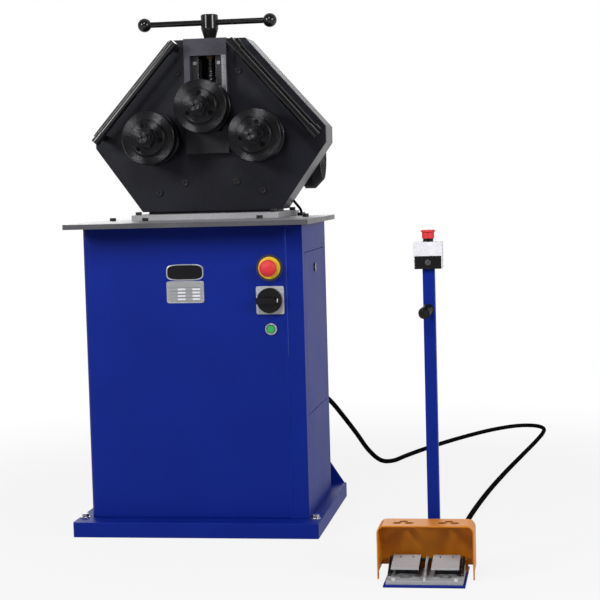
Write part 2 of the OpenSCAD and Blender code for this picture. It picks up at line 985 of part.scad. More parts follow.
module housing_rim() {
    color("dimgray")
        difference() {
            union() {
                upright(rim_front, rim_d)
                    difference() {
                        polygon(mirrored(hex_half(0)));
                        polygon(mirrored(hex_half(rim_wall)));
                    }
                span([-head_foot_w / 2 + rim_wall, rim_front, foot_top],
                    [head_foot_w / 2 - rim_wall, rim_back, head_foot + rim_wall / 2]);
            }
            translate([0, screw_y, head_top - rim_wall - overrun])
                cylinder(r = bush_r + seat_fit, h = rim_wall + 2 * overrun);
        }
}

module back_plate() {
    color("dimgray")
        difference() {
            upright(rim_back, plate_t)
                polygon(mirrored(hex_half(0)));
            for (x = [-centre_gap, centre_gap])
                turned_y(x, low_z)
                    band(0, bearing_r + seat_fit, rim_back - overrun, head_back + overrun);
            turned_y(0, output_z)
                band(0, plate_pass_r, rim_back - overrun, head_back + overrun);
        }
}

module slide_frame() {
    color("slategray")
        difference() {
            span([-frame_half, slide_face, frame_low], [frame_half, head_front, head_top]);
            span([-frame_slot_half, slide_face - overrun, slot_low],
                [frame_slot_half, head_front + overrun, slot_high]);
            span([-strip_out, head_front - strip_t, slot_low], [strip_out, head_front + overrun, slot_high]);
        }
}

module slide_strips() {
    color("silver") {
        both_sides() {
            span([strip_in, head_front - strip_t, slot_low], [strip_out, head_front, slot_high]);
            facing_front((strip_in + frame_slot_half) / 2, head_front - strip_t, slot_high - 4 * small_cap_r)
                cap_screw(small_cap_r, small_cap_h);
        }
        span([frame_half - scale_edge - scale_w, slide_face - scale_t, slot_low + scale_rise],
            [frame_half - scale_edge, slide_face, slot_high]);
    }
}

module slide_rails() {
    color("gray")
        both_sides() {
            span([slot_half, rim_front, slot_low], [slot_half + rail_w, block_back + stop_gap, slot_high]);
            span([slot_half - rail_lip_reach, block_back + stop_gap, slot_low],
                [slot_half + rail_w, block_back + stop_gap + rail_lip, slot_high]);
        }
}

module slide_block() {
    color("darkslategray")
        difference() {
            union() {
                span([-block_half, block_front, block_low], [block_half, block_back, block_high]);
                span([-keeper_half, screw_y - keeper_half, block_high - keeper_t],
                    [keeper_half, screw_y + keeper_half, block_high + keeper_t]);
            }
            turned_y(0, top_z) {
                band(0, bearing_r + seat_fit, block_front - overrun,
                    block_front + bearing_setback + bearing_w);
                band(0, bearing_r + seat_fit, block_back - bearing_setback - bearing_w, block_back + overrun);
                band(0, journal_r + stop_gap, block_front, block_back);
            }
            turned_z(0, screw_y) {
                band(0, thrust_r + run_fit, block_high - thrust_t - stop_gap, block_high);
                band(0, screw_r + stop_gap, block_high - overrun, block_high + keeper_t + overrun);
            }
        }
}

module slide_bearings() {
    color("lightsteelblue")
        turned_y(0, top_z) {
            band(journal_r + run_fit, bearing_r, block_front + bearing_setback,
                block_front + bearing_setback + bearing_w);
            band(journal_r + run_fit, bearing_r, block_back - bearing_setback - bearing_w,
                block_back - bearing_setback);
        }
}

module nut_bush() {
    color("goldenrod")
        turned_z(0, screw_y) {
            band(screw_r + run_fit, bush_r, bush_low, head_top);
            band(screw_r + run_fit, bush_flange_r, head_top - rim_wall - bush_flange_t, head_top - rim_wall);
        }
}

module lifting_screw() {
    color("silver")
        turned_z(0, screw_y) {
            band(0, screw_r, block_high - thrust_t, head_top + hub_lift);
            band(0, thrust_r, block_high - thrust_t, block_high - stop_gap);
        }
}

module t_handle() {
    foot = head_top + hub_lift;
    bar_z = foot + hub_h - bar_drop;
    color("black") {
        turned_z(0, screw_y)
            polygon([[0, foot], [hub_foot_r, foot], [hub_top_r, foot + hub_taper_share * hub_h],
                [hub_top_r, foot + hub_h - ring_chamfer], [hub_top_r - ring_chamfer, foot + hub_h],
                [0, foot + hub_h]]);
        for (s = [-1, 1]) {
            translate([s * (hub_top_r - ring_chamfer), screw_y, bar_z])
                rotate([0, s * 90, 0])
                    cylinder(r = handle_bar_r, h = handle_span / 2 + s * bar_shift - hub_top_r);
            translate([bar_shift + s * handle_span / 2, screw_y, bar_z])
                rotate([0, 0, 90])
                    sphere(ball_r);
        }
    }
}

module lower_bearings() {
    color("lightsteelblue")
        for (x = [-centre_gap, centre_gap])
            turned_y(x, low_z) {
                band(journal_r + run_fit, bearing_r, rim_front - stop_gap - bearing_w, rim_front - stop_gap);
                band(journal_r + run_fit, bearing_r, rim_back + stop_gap, rim_back + stop_gap + bearing_w);
            }
}

module bearing_covers() {
    color("dimgray")
        for (x = [-centre_gap, centre_gap])
            turned_y(x, low_z) {
                band(collar_r + cover_gap, cover_r, head_front - cover_t, head_front);
                band(0, cover_r, head_back, head_back + rear_cover_t);
            }
}

// Stepped roll shaft with its thread and centred end
module roll_shaft(x, z, collar_end, rear) {
    turned_y(x, z) {
        band(centre_hole_r, stub_r, stub_front, stub_front + centre_hole_d);
        band(0, stub_r, stub_front + centre_hole_d, thread_front);
        band(0, thread_r, thread_front, cap_front);
        band(0, seat_r, cap_front, roll_rear);
        band(0, journal_r, roll_rear, rear);
        band(0, collar_r, roll_rear, collar_end);
    }
}

// One ring with broken edges
module ring_profile(r, start, end) {
    polygon([[seat_r + seat_fit, start], [r - ring_chamfer, start], [r, start + ring_chamfer],
        [r, end - ring_chamfer], [r - ring_chamfer, end], [seat_r + seat_fit, end]]);
}

// Front ring, spacer, rear ring and the bored cap in front
module roll_rings(x, z, turn) {
    turned_y(x, z) {
        ring_profile(roll_r, roll_front, ring_gap_front);
    }
    turned_y(x, z) {
        band(seat_r + seat_fit, spacer_r, ring_gap_front, ring_rear_front);
    }
    turned_y(x, z) {
        ring_profile(roll_r, ring_rear_front, roll_rear);
    }
    difference() {
        turned_y(x, z)
            polygon([[seat_r + seat_fit, roll_front], [cap_disc_r, roll_front],
                [cap_disc_r, cap_front + ring_chamfer], [cap_disc_r - ring_chamfer, cap_front],
                [seat_r + seat_fit, cap_front]]);
        for (i = [0 : 2])
            roll_screw_place(x, z, turn + 120 * i)
                cylinder(r = roll_screw_r + counterbore_gap, h = counterbore + overrun);
    }
}

// Place of one cap screw on its circle
module roll_screw_place(x, z, angle) {
    facing_front(x + cap_circle_r * cos(90 + angle), cap_front + counterbore,
        z + cap_circle_r * sin(90 + angle))
        children();
}

// Washer, nut and the three cap screws
module roll_nut(x, z, turn) {
    turned_y(x, z)
        band(thread_r + seat_fit, washer_r, washer_front, cap_front);
    difference() {
        facing_front(x, washer_front, z)
            cylinder(r = nut_r, h = nut_t, $fn = 6);
        facing_front(x, washer_front + overrun, z)
            cylinder(r = thread_r + seat_fit, h = nut_t + 2 * overrun);
    }
    for (i = [0 : 2])
        roll_screw_place(x, z, turn + 120 * i)
            cap_screw(roll_screw_r, roll_screw_h);
}

// Spur gear on a lower shaft
module shaft_gear(x, turn) {
    difference() {
        translate([x, 0, low_z])
            upright(gear_front, gear_w)
                polygon(gear_points(gear_teeth, turn));
        turned_y(x, low_z)
            band(0, journal_r + seat_fit, gear_front - overrun, gear_front + gear_w + overrun);
    }
}

module top_shaft() {
    color("gray")
        roll_shaft(0, top_z, head_front - strip_t - stop_gap, block_back);
}

module top_roll_rings() {
    color("darkslategray")
        roll_rings(0, top_z, roll_turns[0]);
}

module top_roll_nut() {
    color("gray")
        roll_nut(0, top_z, roll_turns[0]);
}

module left_shaft() {
    color("gray")
        roll_shaft(-centre_gap, low_z, head_front - stop_gap, head_back - stop_gap);
}

module left_roll_rings() {
    color("darkslategray")
        roll_rings(-centre_gap, low_z, roll_turns[1]);
}

module left_roll_nut() {
    color("gray")
        roll_nut(-centre_gap, low_z, roll_turns[1]);
}

module left_gear() {
    color("slategray")
        shaft_gear(-centre_gap, 0);
}

module right_shaft() {
    color("gray")
        roll_shaft(centre_gap, low_z, head_front - stop_gap, head_back - stop_gap);
}

module right_roll_rings() {
    color("darkslategray")
        roll_rings(centre_gap, low_z, roll_turns[2]);
}

module right_roll_nut() {
    color("gray")
        roll_nut(centre_gap, low_z, roll_turns[2]);
}

module right_gear() {
    color("slategray")
        shaft_gear(centre_gap, 180 / gear_teeth);
}

module drive_pinion() {
    color("slategray") {
        translate([0, 0, output_z])
            upright(gear_front, gear_w)
                polygon(gear_points(pinion_teeth, 0));
        turned_y(0, output_z) {
            band(0, pinion_shaft_r, gear_front - pinion_nose, head_back + pinion_bore_len - stop_gap);
        }
    }
}

// Runs its child along a slanted edge: X follows the edge downwards, Z points to the front
module along_slant(reach, inset) {
    translate([head_top_w / 2, head_front - reach, head_top])
        rotate([0, slant_angle, 0])
            translate([0, 0, -inset])
                children();
}

module guide_bars() {
    color("black")
        both_sides() {
            along_slant(guide_reach, guide_inset)
                translate([guide_start, 0, 0])
                    rotate([0, 90, 0])
                        cylinder(r = guide_r, h = guide_len);
            along_slant(rear_bar_reach, guide_inset - rear_bar_shift)
                translate([guide_start + post_inset - eye_len / 2, 0, 0])
                    rotate([0, 90, 0])
                        cylinder(r = rear_bar_r, h = guide_len - collar_len + eye_len);
        }
}

module guide_posts() {
    color("black")
        both_sides()
            for (place = [guide_start, guide_start + guide_len - collar_len])
                difference() {
                    union() {
                        along_slant(guide_reach, guide_inset)
                            translate([place, 0, 0])
                                rotate([0, 90, 0])
                                    cylinder(r = collar_out_r, h = collar_len);
                        along_slant(guide_reach, guide_inset)
                            translate([place + post_inset, 0, 0])
                                rotate([-90, 0, 0])
                                    cylinder(r = post_r, h = guide_reach);
                        along_slant(rear_bar_reach, guide_inset - rear_bar_shift)
                            translate([place + post_inset - eye_len / 2, 0, 0])
                                rotate([0, 90, 0])
                                    cylinder(r = eye_r, h = eye_len);
                    }
                    along_slant(rear_bar_reach, guide_inset - rear_bar_shift)
                        translate([place, 0, 0])
                            rotate([0, 90, 0])
                                cylinder(r = rear_bar_r + seat_fit, h = collar_len);
                    along_slant(guide_reach, guide_inset)
                        translate([place - overrun, 0, 0])
                            rotate([0, 90, 0])
                                cylinder(r = guide_r + seat_fit, h = collar_len + 2 * overrun);
                }
}

module gearbox_housing() {
    flange_back = head_back + gear_flange_t;
    drum_back = motor_y + worm_tube_r - ring_chamfer;
    color("slategray")
        difference() {
            union() {
                turned_y(0, output_z) {
                    band(0, gear_flange_r, head_back, flange_back);
                    band(0, gear_drum_r, flange_back, drum_back);
                }
                span([-gear_block_half, drum_back - gear_block_d, motor_z - gear_block_low],
                    [gear_block_half, drum_back, output_z]);
                turned_x(motor_y, motor_z) {
                    band(0, worm_tube_r, -worm_left, worm_right);
                    band(0, motor_flange_r, worm_right, motor_left);
                }
            }
            turned_y(0, output_z)
                band(0, pinion_shaft_r + run_fit, head_back - overrun, head_back + pinion_bore_len);
        }
}

module motor_body() {
    color("dimgray") {
        translate([motor_left, motor_y, motor_z])
            rotate([0, 90, 0]) {
                translate([0, 0, shield_t / 2])
                    linear_extrude(motor_len - shield_t)
                        polygon(toothed(fin_count, motor_r - fin_h, motor_r - fin_drop, fin_share,
                            fin_share / 2, 0));
                cylinder(r = motor_r, h = shield_t);
                translate([0, 0, motor_len - shield_t])
                    cylinder(r = motor_r, h = shield_t);
            }
    }
}

module fan_cowl() {
    end = motor_right + cowl_len;
    color("lightgray")
        difference() {
            turned_x(motor_y, motor_z)
                polygon([[0, motor_right], [cowl_r, motor_right], [cowl_r, end - cowl_chamfer],
                    [cowl_r - cowl_chamfer, end], [0, end]]);
            for (i = [0 : slot_count - 1])
                translate([end - slot_d, motor_y, motor_z])
                    rotate([i * 360 / slot_count, 0, 0])
                        translate([0, -slot_w / 2, slot_in_r])
                            cube([slot_d + overrun, slot_w, cowl_r - cowl_chamfer - slot_in_r - slot_w]);
        }
}

module terminal_box() {
    top = motor_z - motor_r;
    low = [terminal_x, motor_y - terminal[1] / 2, top - terminal[2]];
    high = [terminal_x + terminal[0], motor_y + terminal[1] / 2, motor_z - terminal_saddle_share * motor_r];
    color("dimgray") {
        difference() {
            span(low, high);
            turned_x(motor_y, motor_z)
                band(0, motor_r + seat_fit, motor_left, motor_right);
        }
        turned_y(high[0] - terminal_gland_inset, top - terminal[2] / 2) {
            band(0, gland_r, low[1] - gland_len / 2, low[1]);
            band(0, gland_neck_r, low[1] - gland_len, low[1]);
        }
        turned_z(grommet_x, grommet_y) {
            band(0, grommet_r, table_top, table_top + grommet_h);
            band(0, grommet_neck_r, cab_top, table_top + grommet_h);
        }
    }
}

module motor_lead() {
    start = [terminal_x + terminal[0] - terminal_gland_inset, motor_y - terminal[1] / 2 - gland_len,
        motor_z - motor_r - terminal[2] / 2];
    end = [grommet_x, grommet_y, table_top + grommet_h];
    step = end - start;
    turns = [for (s = lead_shares) start + [s[0] * step[0], s[1] * step[1], s[2] * step[2]]];
    route = concat([start], turns, [end]);
    color("black")
        tube(route, lead_steps, lead_r, lead_sides, [1, 1, -1], [0, -1, 0], [0, 0, -1]);
}

module pedal_stand() {
    inner = column_w - 2 * column_wall;
    color("royalblue") {
        span([station_x - stand_w / 2, station_front, 0], [station_x + stand_w / 2, stand_back, stand_t]);
        translate([column_x, column_y, 0])
            linear_extrude(column_h)
                difference() {
                    square(column_w, center = true);
                    square(inner, center = true);
                }
    }
}

// Upright web of the pedal frame, sloping down to the front
module pedal_web(x, w, start) {
    high = stand_t + rib_h;
    translate([x - w / 2, 0, 0])
        rotate([90, 0, 90])
            linear_extrude(w)
                polygon([[start, stand_t], [pivot_y + lug_r, stand_t], [pivot_y + lug_r, high],
                    [pivot_y - lug_r, high], [start, stand_t + pedal_frame_t + rib_w]]);
}

module pedal_frame() {
    low = stand_t;
    top = low + pedal_frame_t;
    front = station_front + pedal_frame_setback;
    back = guard_back - sheet;
    half = pedal_frame_w / 2;
    contact_front = pivot_y - contact_reach;
    color("gainsboro")
        translate([station_x, 0, 0]) {
            difference() {
                union() {
                    span([-half, front, low], [half, back, top]);
                    pedal_web(0, rib_w, front + rib_w);
                    for (s = [-1, 1]) {
                        pedal_web(s * (half - lug_w / 2), lug_w, front + cheek_setback);
                        span([s * pedal_gap - pedal_w / 2 + rib_w, contact_front, low],
                            [s * pedal_gap + pedal_w / 2 - rib_w, contact_front + contact_d,
                                top + contact_h]);
                    }
                }
                translate([-half - overrun, pivot_y, pivot_z])
                    rotate([0, 90, 0])
                        cylinder(r = pivot_r + seat_fit, h = pedal_frame_w + 2 * overrun);
                for (s = [-1, 1])
                    translate([s * pedal_gap, front + pedal_len / 2, top - pedal_frame_t / 2])
                        cylinder(r = frame_eye_r, h = pedal_frame_t);
            }
            translate([-half, pivot_y, pivot_z])
                rotate([0, 90, 0])
                    cylinder(r = pivot_r, h = pedal_frame_w);
            for (s = [-1, 1])
                translate([s * (half - foot_screw_inset), front + foot_screw_inset / 2, top])
                    cap_screw(small_cap_r, small_cap_h);
        }
}

// Sloping treadle with a straight front lip, hinged at the back
module pedal(side) {
    tip = pivot_y - pedal_len;
    under = pivot_z - pedal_lip;
    color("silver")
        translate([station_x + side * pedal_gap - pedal_w / 2, 0, 0])
            difference() {
                rotate([90, 0, 90])
                    linear_extrude(pedal_w) {
                        polygon([[pivot_y, under], [pivot_y, pivot_z],
                            [pivot_y - pedal_barrel_r, pivot_z + pedal_rise], [tip, pivot_z], [tip, under]]);
                        translate([pivot_y, pivot_z])
                            circle(pedal_barrel_r);
                    }
                translate([-overrun, pivot_y, pivot_z])
                    rotate([0, 90, 0])
                        cylinder(r = pivot_r + run_fit, h = pedal_w + 2 * overrun);
            }
}

module left_pedal() {
    pedal(-1);
}

module right_pedal() {
    pedal(1);
}

// Outline of the hood, drawn in by a wall
module guard_outline(wall) {
    r = guard_bend_r - wall;
    half = guard_w / 2 - wall;
    top = guard_h - wall;
    translate([station_x, 0]) {
        translate([-half, 0])
            square([2 * half, top - r]);
        translate([-half + r, 0])
            square([2 * (half - r), top]);
        for (s = [-1, 1])
            translate([s * (half - r), top - r])
                circle(r);
    }
}

module pedal_guard() {
    foot = stand_t + guard_clear;
    left = station_x - guard_w / 2 - overrun;
    color("darkorange")
        difference() {
            upright(guard_front, guard_d)
                guard_outline(0);
            upright(guard_front - overrun, guard_d - sheet + overrun)
                guard_outline(sheet);
            span([left, guard_front - overrun, -overrun],
                [station_x + guard_w, guard_back + overrun, stand_t]);
            span([left, guard_front + guard_tip_w, -overrun],
                [station_x - stand_w / 2, guard_back + overrun, foot]);
            span([station_x + stand_w / 2, guard_front + guard_tip_w, -overrun],
                [station_x + guard_w, guard_back + overrun, foot]);
            for (s = [-1, 1], p = guard_hole_shares)
                translate([station_x + s * guard_hole_spread_share * guard_w + p[0] * guard_hole_pitch,
                    guard_front + guard_d / 2 + p[1] * guard_hole_pitch, guard_h - sheet - overrun])
                    cylinder(r = guard_hole_r, h = sheet + 2 * overrun);
        }
}

module remote_box() {
    color("white")
        translate([column_x, column_y, column_h])
            linear_extrude(box_h)
                round_rect(box_w, box_d, box_corner_r);
}

module remote_trim() {
    front = column_y - box_d / 2;
    half = box_w / 2 - box_corner_r;
    trim_h = trim_share * box_h;
    color("black") {
        span([column_x - half, front - trim_t, column_h], [column_x + half, front, column_h + trim_h]);
        facing_front(column_x, front, column_h + trim_h / 2)
            cylinder(r = trim_boss_r, h = trim_t + trim_boss_t);
        turned_z(column_x, column_y)
            band(remote_stem_r + run_fit, remote_neck_r, box_top, box_top + remote_neck_h);
    }
}

module remote_mushroom() {
    foot = box_top + remote_neck_h;
    rim = foot + remote_body_h;
    color("red")
        turned_z(column_x, column_y) {
            band(0, remote_stem_r, box_top + remote_travel + stop_gap, rim);
            band(0, remote_body_r, foot + remote_travel + stop_gap, rim);
            band(remote_neck_r + stop_gap, remote_body_r, foot, rim);
            band(0, remote_rim_r - bezel_chamfer, rim, rim + remote_rim_h);
            band(0, remote_rim_r, rim, rim + remote_rim_h - bezel_chamfer);
        }
}

module column_grip() {
    color("black")
        difference() {
            translate([column_x, column_y, column_h - grip_drop])
                rotate([grip_tilt, 0, -grip_yaw])
                    rotate([90, 0, 0])
                        rotate_extrude() {
                            band(0, grip_r, 0, grip_len - grip_r / 2);
                            band(0, grip_r - grip_groove, 0, grip_len);
                            for (i = [1 : grip_ribs])
                                band(0, grip_r + grip_groove, grip_len * i / (grip_ribs + 2),
                                    grip_len * (i + grip_rib_share) / (grip_ribs + 2));
                        }
            translate([column_x, column_y, 0])
                translate([-grip_len, -column_w / 2, 0])
                    cube([2 * grip_len, grip_len, column_h]);
        }
}

// Domed gland pointing to the back
module cable_gland(x, z, face) {
    turned_y(x, z) {
        band(0, cable_gland_r, face, face + cable_gland_len / 2);
        band(0, cable_gland_r - ring_chamfer, face, face + gland_dome_share * cable_gland_len);
        band(0, cable_r + ring_chamfer, face, face + cable_gland_len);
    }
}

module cable_glands() {
    color("black") {
        cable_gland(cable_gland_x, cable_gland_z, cab_back);
        cable_gland(pedal_gland_x, pedal_gland_z, guard_back);
    }
}

module pedal_cable() {
    color("black")
        tube(cable_route, cable_steps, cable_r, cable_sides, [0, 0, 1], [0, 1, 0], [0, -1, 0]);
}

base_tray();
floor_bolts();
cabinet_wrap();
cabinet_side();
back_panel();
electrics_plate();
side_door();
door_lock();
table_plate();
machine_screws();
estop_collar();
estop_mushroom();
switch_plate();
switch_knob();
button_bezel();
start_button();
head_base_plate();
front_plate();
housing_rim();
back_plate();
slide_frame();
slide_strips();
slide_rails();
slide_block();
slide_bearings();
nut_bush();
lifting_screw();
t_handle();
lower_bearings();
bearing_covers();
top_shaft();
top_roll_rings();
top_roll_nut();
left_shaft();
left_roll_rings();
left_roll_nut();
left_gear();
right_shaft();
right_roll_rings();
right_roll_nut();
right_gear();
drive_pinion();
guide_bars();
guide_posts();
gearbox_housing();
motor_body();
fan_cowl();
terminal_box();
motor_lead();
pedal_stand();
pedal_frame();
left_pedal();
right_pedal();
pedal_guard();
remote_box();
remote_trim();
remote_mushroom();
column_grip();
cable_glands();
pedal_cable();
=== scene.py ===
"""Looks of an angle roll bender: a blue cabinet, a geared three-roll head and a cabled foot station."""
import logging
import math
from dataclasses import dataclass, replace
from enum import Enum
from typing import Iterable, Sequence

import bmesh
import bpy
import numpy as np
from mathutils import Matrix, Vector


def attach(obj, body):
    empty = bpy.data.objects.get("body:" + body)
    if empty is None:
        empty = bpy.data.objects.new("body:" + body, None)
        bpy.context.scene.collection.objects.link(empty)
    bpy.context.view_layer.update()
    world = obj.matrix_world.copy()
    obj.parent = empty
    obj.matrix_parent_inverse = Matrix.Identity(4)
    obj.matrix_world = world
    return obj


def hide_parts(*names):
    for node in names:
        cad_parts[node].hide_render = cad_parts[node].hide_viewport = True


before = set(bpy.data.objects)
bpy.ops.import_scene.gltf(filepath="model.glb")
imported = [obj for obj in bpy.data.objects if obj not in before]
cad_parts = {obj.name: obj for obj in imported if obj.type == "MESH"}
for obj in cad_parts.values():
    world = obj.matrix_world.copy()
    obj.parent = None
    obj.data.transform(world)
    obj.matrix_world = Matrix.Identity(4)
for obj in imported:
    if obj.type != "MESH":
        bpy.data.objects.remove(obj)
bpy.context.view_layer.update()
LOG = logging.getLogger("roll_bender")

Pair = tuple[float, float]
Vec3 = tuple[float, float, float]
Vec4 = tuple[float, float, float, float]
Color = tuple[float, float, float]

ORIGIN: Vec3 = (0.0, 0.0, 0.0)
# A distance beyond any piece, for zones that are open on a side.
FAR = 9.0
# Middle of a noise, and the range that most of its values lie in.
MIDDLE = 0.5
USUAL: Pair = (0.3, 0.7)
# Corners of a square of side one.
SQUARE = np.array([[-0.5, -0.5], [0.5, -0.5], [0.5, 0.5], [-0.5, 0.5]])


class Axis(Enum):
    """Axis that a turned shape or a grain runs along, as an index into X, Y, Z."""

    X = 0
    Y = 1
    Z = 2


class Sheen(Enum):
    """How glossy a finish is, as the roughness at its middle."""

    EGGSHELL = 0.50
    SATIN = 0.42
    SEMI_GLOSS = 0.30
    TURNED = 0.22
    GLOSS = 0.16


class Shade:
    """One output socket of a material's nodes; arithmetic on it adds Math nodes."""

    def __init__(self, tree: "Tree", socket: bpy.types.NodeSocket) -> None:
        """Keeps the tree and the socket.

        Args:
            tree: The node tree that the socket is in.
            socket: The output socket.
        """
        self.tree = tree
        self.socket = socket

    def _math(self, operation: str, left: object, right: object) -> "Shade":
        """Adds one Math node.

        Args:
            operation: The node's operation.
            left: First value or shade.
            right: Second value or shade.

        Returns:
            The node's output.
        """
        return self.tree.node("ShaderNodeMath", {"operation": operation}, {0: left, 1: right})

    def __add__(self, other: object) -> "Shade":
        """Sum."""
        return self._math("ADD", self, other)

    __radd__ = __add__

    def __sub__(self, other: object) -> "Shade":
        """Difference."""
        return self._math("SUBTRACT", self, other)

    def __rsub__(self, other: object) -> "Shade":
        """Difference from a plain value."""
        return self._math("SUBTRACT", other, self)

    def __mul__(self, other: object) -> "Shade":
        """Product."""
        return self._math("MULTIPLY", self, other)

    __rmul__ = __mul__

    def __gt__(self, other: object) -> "Shade":
        """One where this is greater, else zero."""
        return self._math("GREATER_THAN", self, other)

    def __lt__(self, other: object) -> "Shade":
        """One where this is less, else zero."""
        return self._math("LESS_THAN", self, other)

    def between(self, low: float, high: float) -> "Shade":
        """One where this lies between two values, else zero."""
        return (self > low) * (self < high)

    def away(self, other: "Shade") -> "Shade":
        """Distance from zero of the point that has this and another coordinate."""
        return self._math("SQRT", self * self + other * other, 0.0)

    def wave(self, period: float) -> "Shade":
        """Sine wave of this value, from zero to one."""
        return self._math("SINE", self * (2.0 * math.pi / period), 0.0) * 0.5 + 0.5

    def ramp(self, low: float, high: float, to_low: float = 0.0, to_high: float = 1.0) -> "Shade":
        """Maps a range onto another with a smooth step, held at both ends.

        Args:
            low: Start of the range.
            high: End of the range.
            to_low: Value at the start.
            to_high: Value at the end.

        Returns:
            The mapped value.
        """
        return self.tree.node(
            "ShaderNodeMapRange", {"interpolation_type": "SMOOTHSTEP", "clamp": True},
            {"Value": self, "From Min": low, "From Max": high, "To Min": to_low, "To Max": to_high})

    def other(self, name: str) -> "Shade":
        """Another output of the same node."""
        return Shade(self.tree, self.socket.node.outputs[name])


class Tree:
    """A material under construction.

    Attributes:
        EDGE_SAMPLES: Rays that look for an edge.
        EDGE_TURN: How far the normal has turned where an edge starts, and where it is full.
    """

    EDGE_SAMPLES = 6
    EDGE_TURN: Pair = (0.02, 0.22)

    def __init__(self, name: str) -> None:
        """Starts an empty material.

        Args:
            name: The material's name.
        """
        self.material = bpy.data.materials.new(name)
        self.material.use_nodes = True
        self.begin(self.material.node_tree)

    def begin(self, node_tree: bpy.types.NodeTree) -> None:
        """Takes over an emptied node tree.

        Args:
            node_tree: The node tree that is filled from here on.
        """
        self.nodes = node_tree.nodes
        self.links = node_tree.links
        self.nodes.clear()

    @classmethod
    def of(cls, node_tree: bpy.types.NodeTree) -> "Tree":
        """A tree that fills a node tree which is there already, such as the world's.

        Args:
            node_tree: The node tree.

        Returns:
            The tree.
        """
        made = cls.__new__(cls)
        made.begin(node_tree)
        return made

    def node(self, kind: str, settings: dict[str, object] | None = None,
             sockets: dict[str | int, object] | None = None, out: str | int = 0) -> Shade:
        """Adds a node, sets it up and feeds its sockets.

        Args:
            kind: The node's type.
            settings: Properties that are set first.
            sockets: Values or shades by socket name or number.
            out: The output that is handed back.

        Returns:
            That output.
        """
        made = self.nodes.new(kind)
        for key, value in (settings or {}).items():
            setattr(made, key, value)
        for key, value in (sockets or {}).items():
            if isinstance(value, Shade):
                self.links.new(value.socket, made.inputs[key])
            else:
                made.inputs[key].default_value = value
        return Shade(self, made.outputs[out] if made.outputs else None)

    def place(self, centre: Vec3 = ORIGIN) -> Shade:
        """Object coordinates, moved so that a centre is at zero.

        Args:
            centre: The point that becomes zero, in metres.

        Returns:
            The moved coordinates.
        """
        spot = self.node("ShaderNodeTexCoord", out="Object")
        if not any(centre):
            return spot
        return self.node("ShaderNodeMapping", None, {"Vector": spot, "Location": tuple(-c for c in centre)})

    def parts(self, spot: Shade) -> tuple[Shade, Shade, Shade]:
        """X, Y and Z of a vector."""
        x = self.node("ShaderNodeSeparateXYZ", None, {0: spot}, out="X")
        return x, x.other("Y"), x.other("Z")

    def noise(self, spot: Shade, size: float, detail: float = 2.0, stretch: Vec3 | None = None) -> Shade:
        """Soft noise whose patches are about a given size.

        Args:
            spot: Coordinates in metres.
            size: Patch size in metres.
            detail: Octaves of finer noise.
            stretch: Scale of the coordinates along X, Y and Z, for a grain.

        Returns:
            Values around a half.
        """
        if stretch is not None:
            spot = self.node("ShaderNodeMapping", None, {"Vector": spot, "Scale": stretch})
        return self.node("ShaderNodeTexNoise", None, {"Vector": spot, "Scale": 1.0 / size, "Detail": detail})

    def vector(self, operation: str, *values: object) -> Shade:
        """Adds one Vector Math node."""
        return self.node("ShaderNodeVectorMath", {"operation": operation}, dict(enumerate(values)))

    def mix(self, factor: object, low: object, high: object) -> Shade:
        """Mixes two colours, by the numbers of the Mix node's colour sockets."""
        return self.node("ShaderNodeMix", {"data_type": "RGBA"}, {0: factor, 6: low, 7: high}, out=2)

    def varied(self, factor: object, color: Color, low: float, high: float) -> Shade:
        """A colour between two brightnesses."""
        return self.mix(factor, rgba(color, low), rgba(color, high))

    def edges(self, width: float) -> tuple[Shade, Shade]:
        """Rounded normal near edges, and a mask that is one on the edges.

        Args:
            width: Width of the rounding in metres.

        Returns:
            The normal and the mask.
        """
        bevel = self.node("ShaderNodeBevel", {"samples": self.EDGE_SAMPLES}, {"Radius": width})
        flat = self.node("ShaderNodeNewGeometry", out="Normal")
        turn = self.vector("DOT_PRODUCT", bevel, flat).other("Value")
        return bevel, (1.0 - turn).ramp(*self.EDGE_TURN)

    def bump(self, height: Shade, depth: float, strength: float = 1.0, normal: Shade | None = None) -> Shade:
        """Bump from a height between zero and one.

        Args:
            height: The height.
            depth: Its full depth in metres.
            strength: Strength of the bump.
            normal: The normal it starts from.

        Returns:
            The bumped normal.
        """
        sockets: dict[str | int, object] = {"Height": height, "Distance": depth, "Strength": strength}
        if normal is not None:
            sockets["Normal"] = normal
        return self.node("ShaderNodeBump", None, sockets)

    def finish(self, sockets: dict[str | int, object]) -> bpy.types.Material:
        """Closes the material with one Principled shader.

        Args:
            sockets: Values and shades of the shader's sockets.

        Returns:
            The material.
        """
        shader = self.node("ShaderNodeBsdfPrincipled", None, sockets)
        self.node("ShaderNodeOutputMaterial", None, {"Surface": shader})
        return self.material


def rgba(color: Color, gain: float = 1.0, lift: float = 0.0, top: float = 1.0) -> Vec4:
    """A colour times a gain, plus a lift and held at a top value, with full alpha."""
    return (*(min(top, gain * c + lift) for c in color), 1.0)


@dataclass(frozen=True)
class Finish:
    """A finish of one name and colour.

    Attributes:
        name: Name of the material.
        color: Base colour, linear.
        sheen: How glossy it is.
    """

    name: str
    color: Color
    sheen: Sheen = Sheen.SATIN

    def build(self) -> bpy.types.Material:
        """Makes the material."""
        raise NotImplementedError


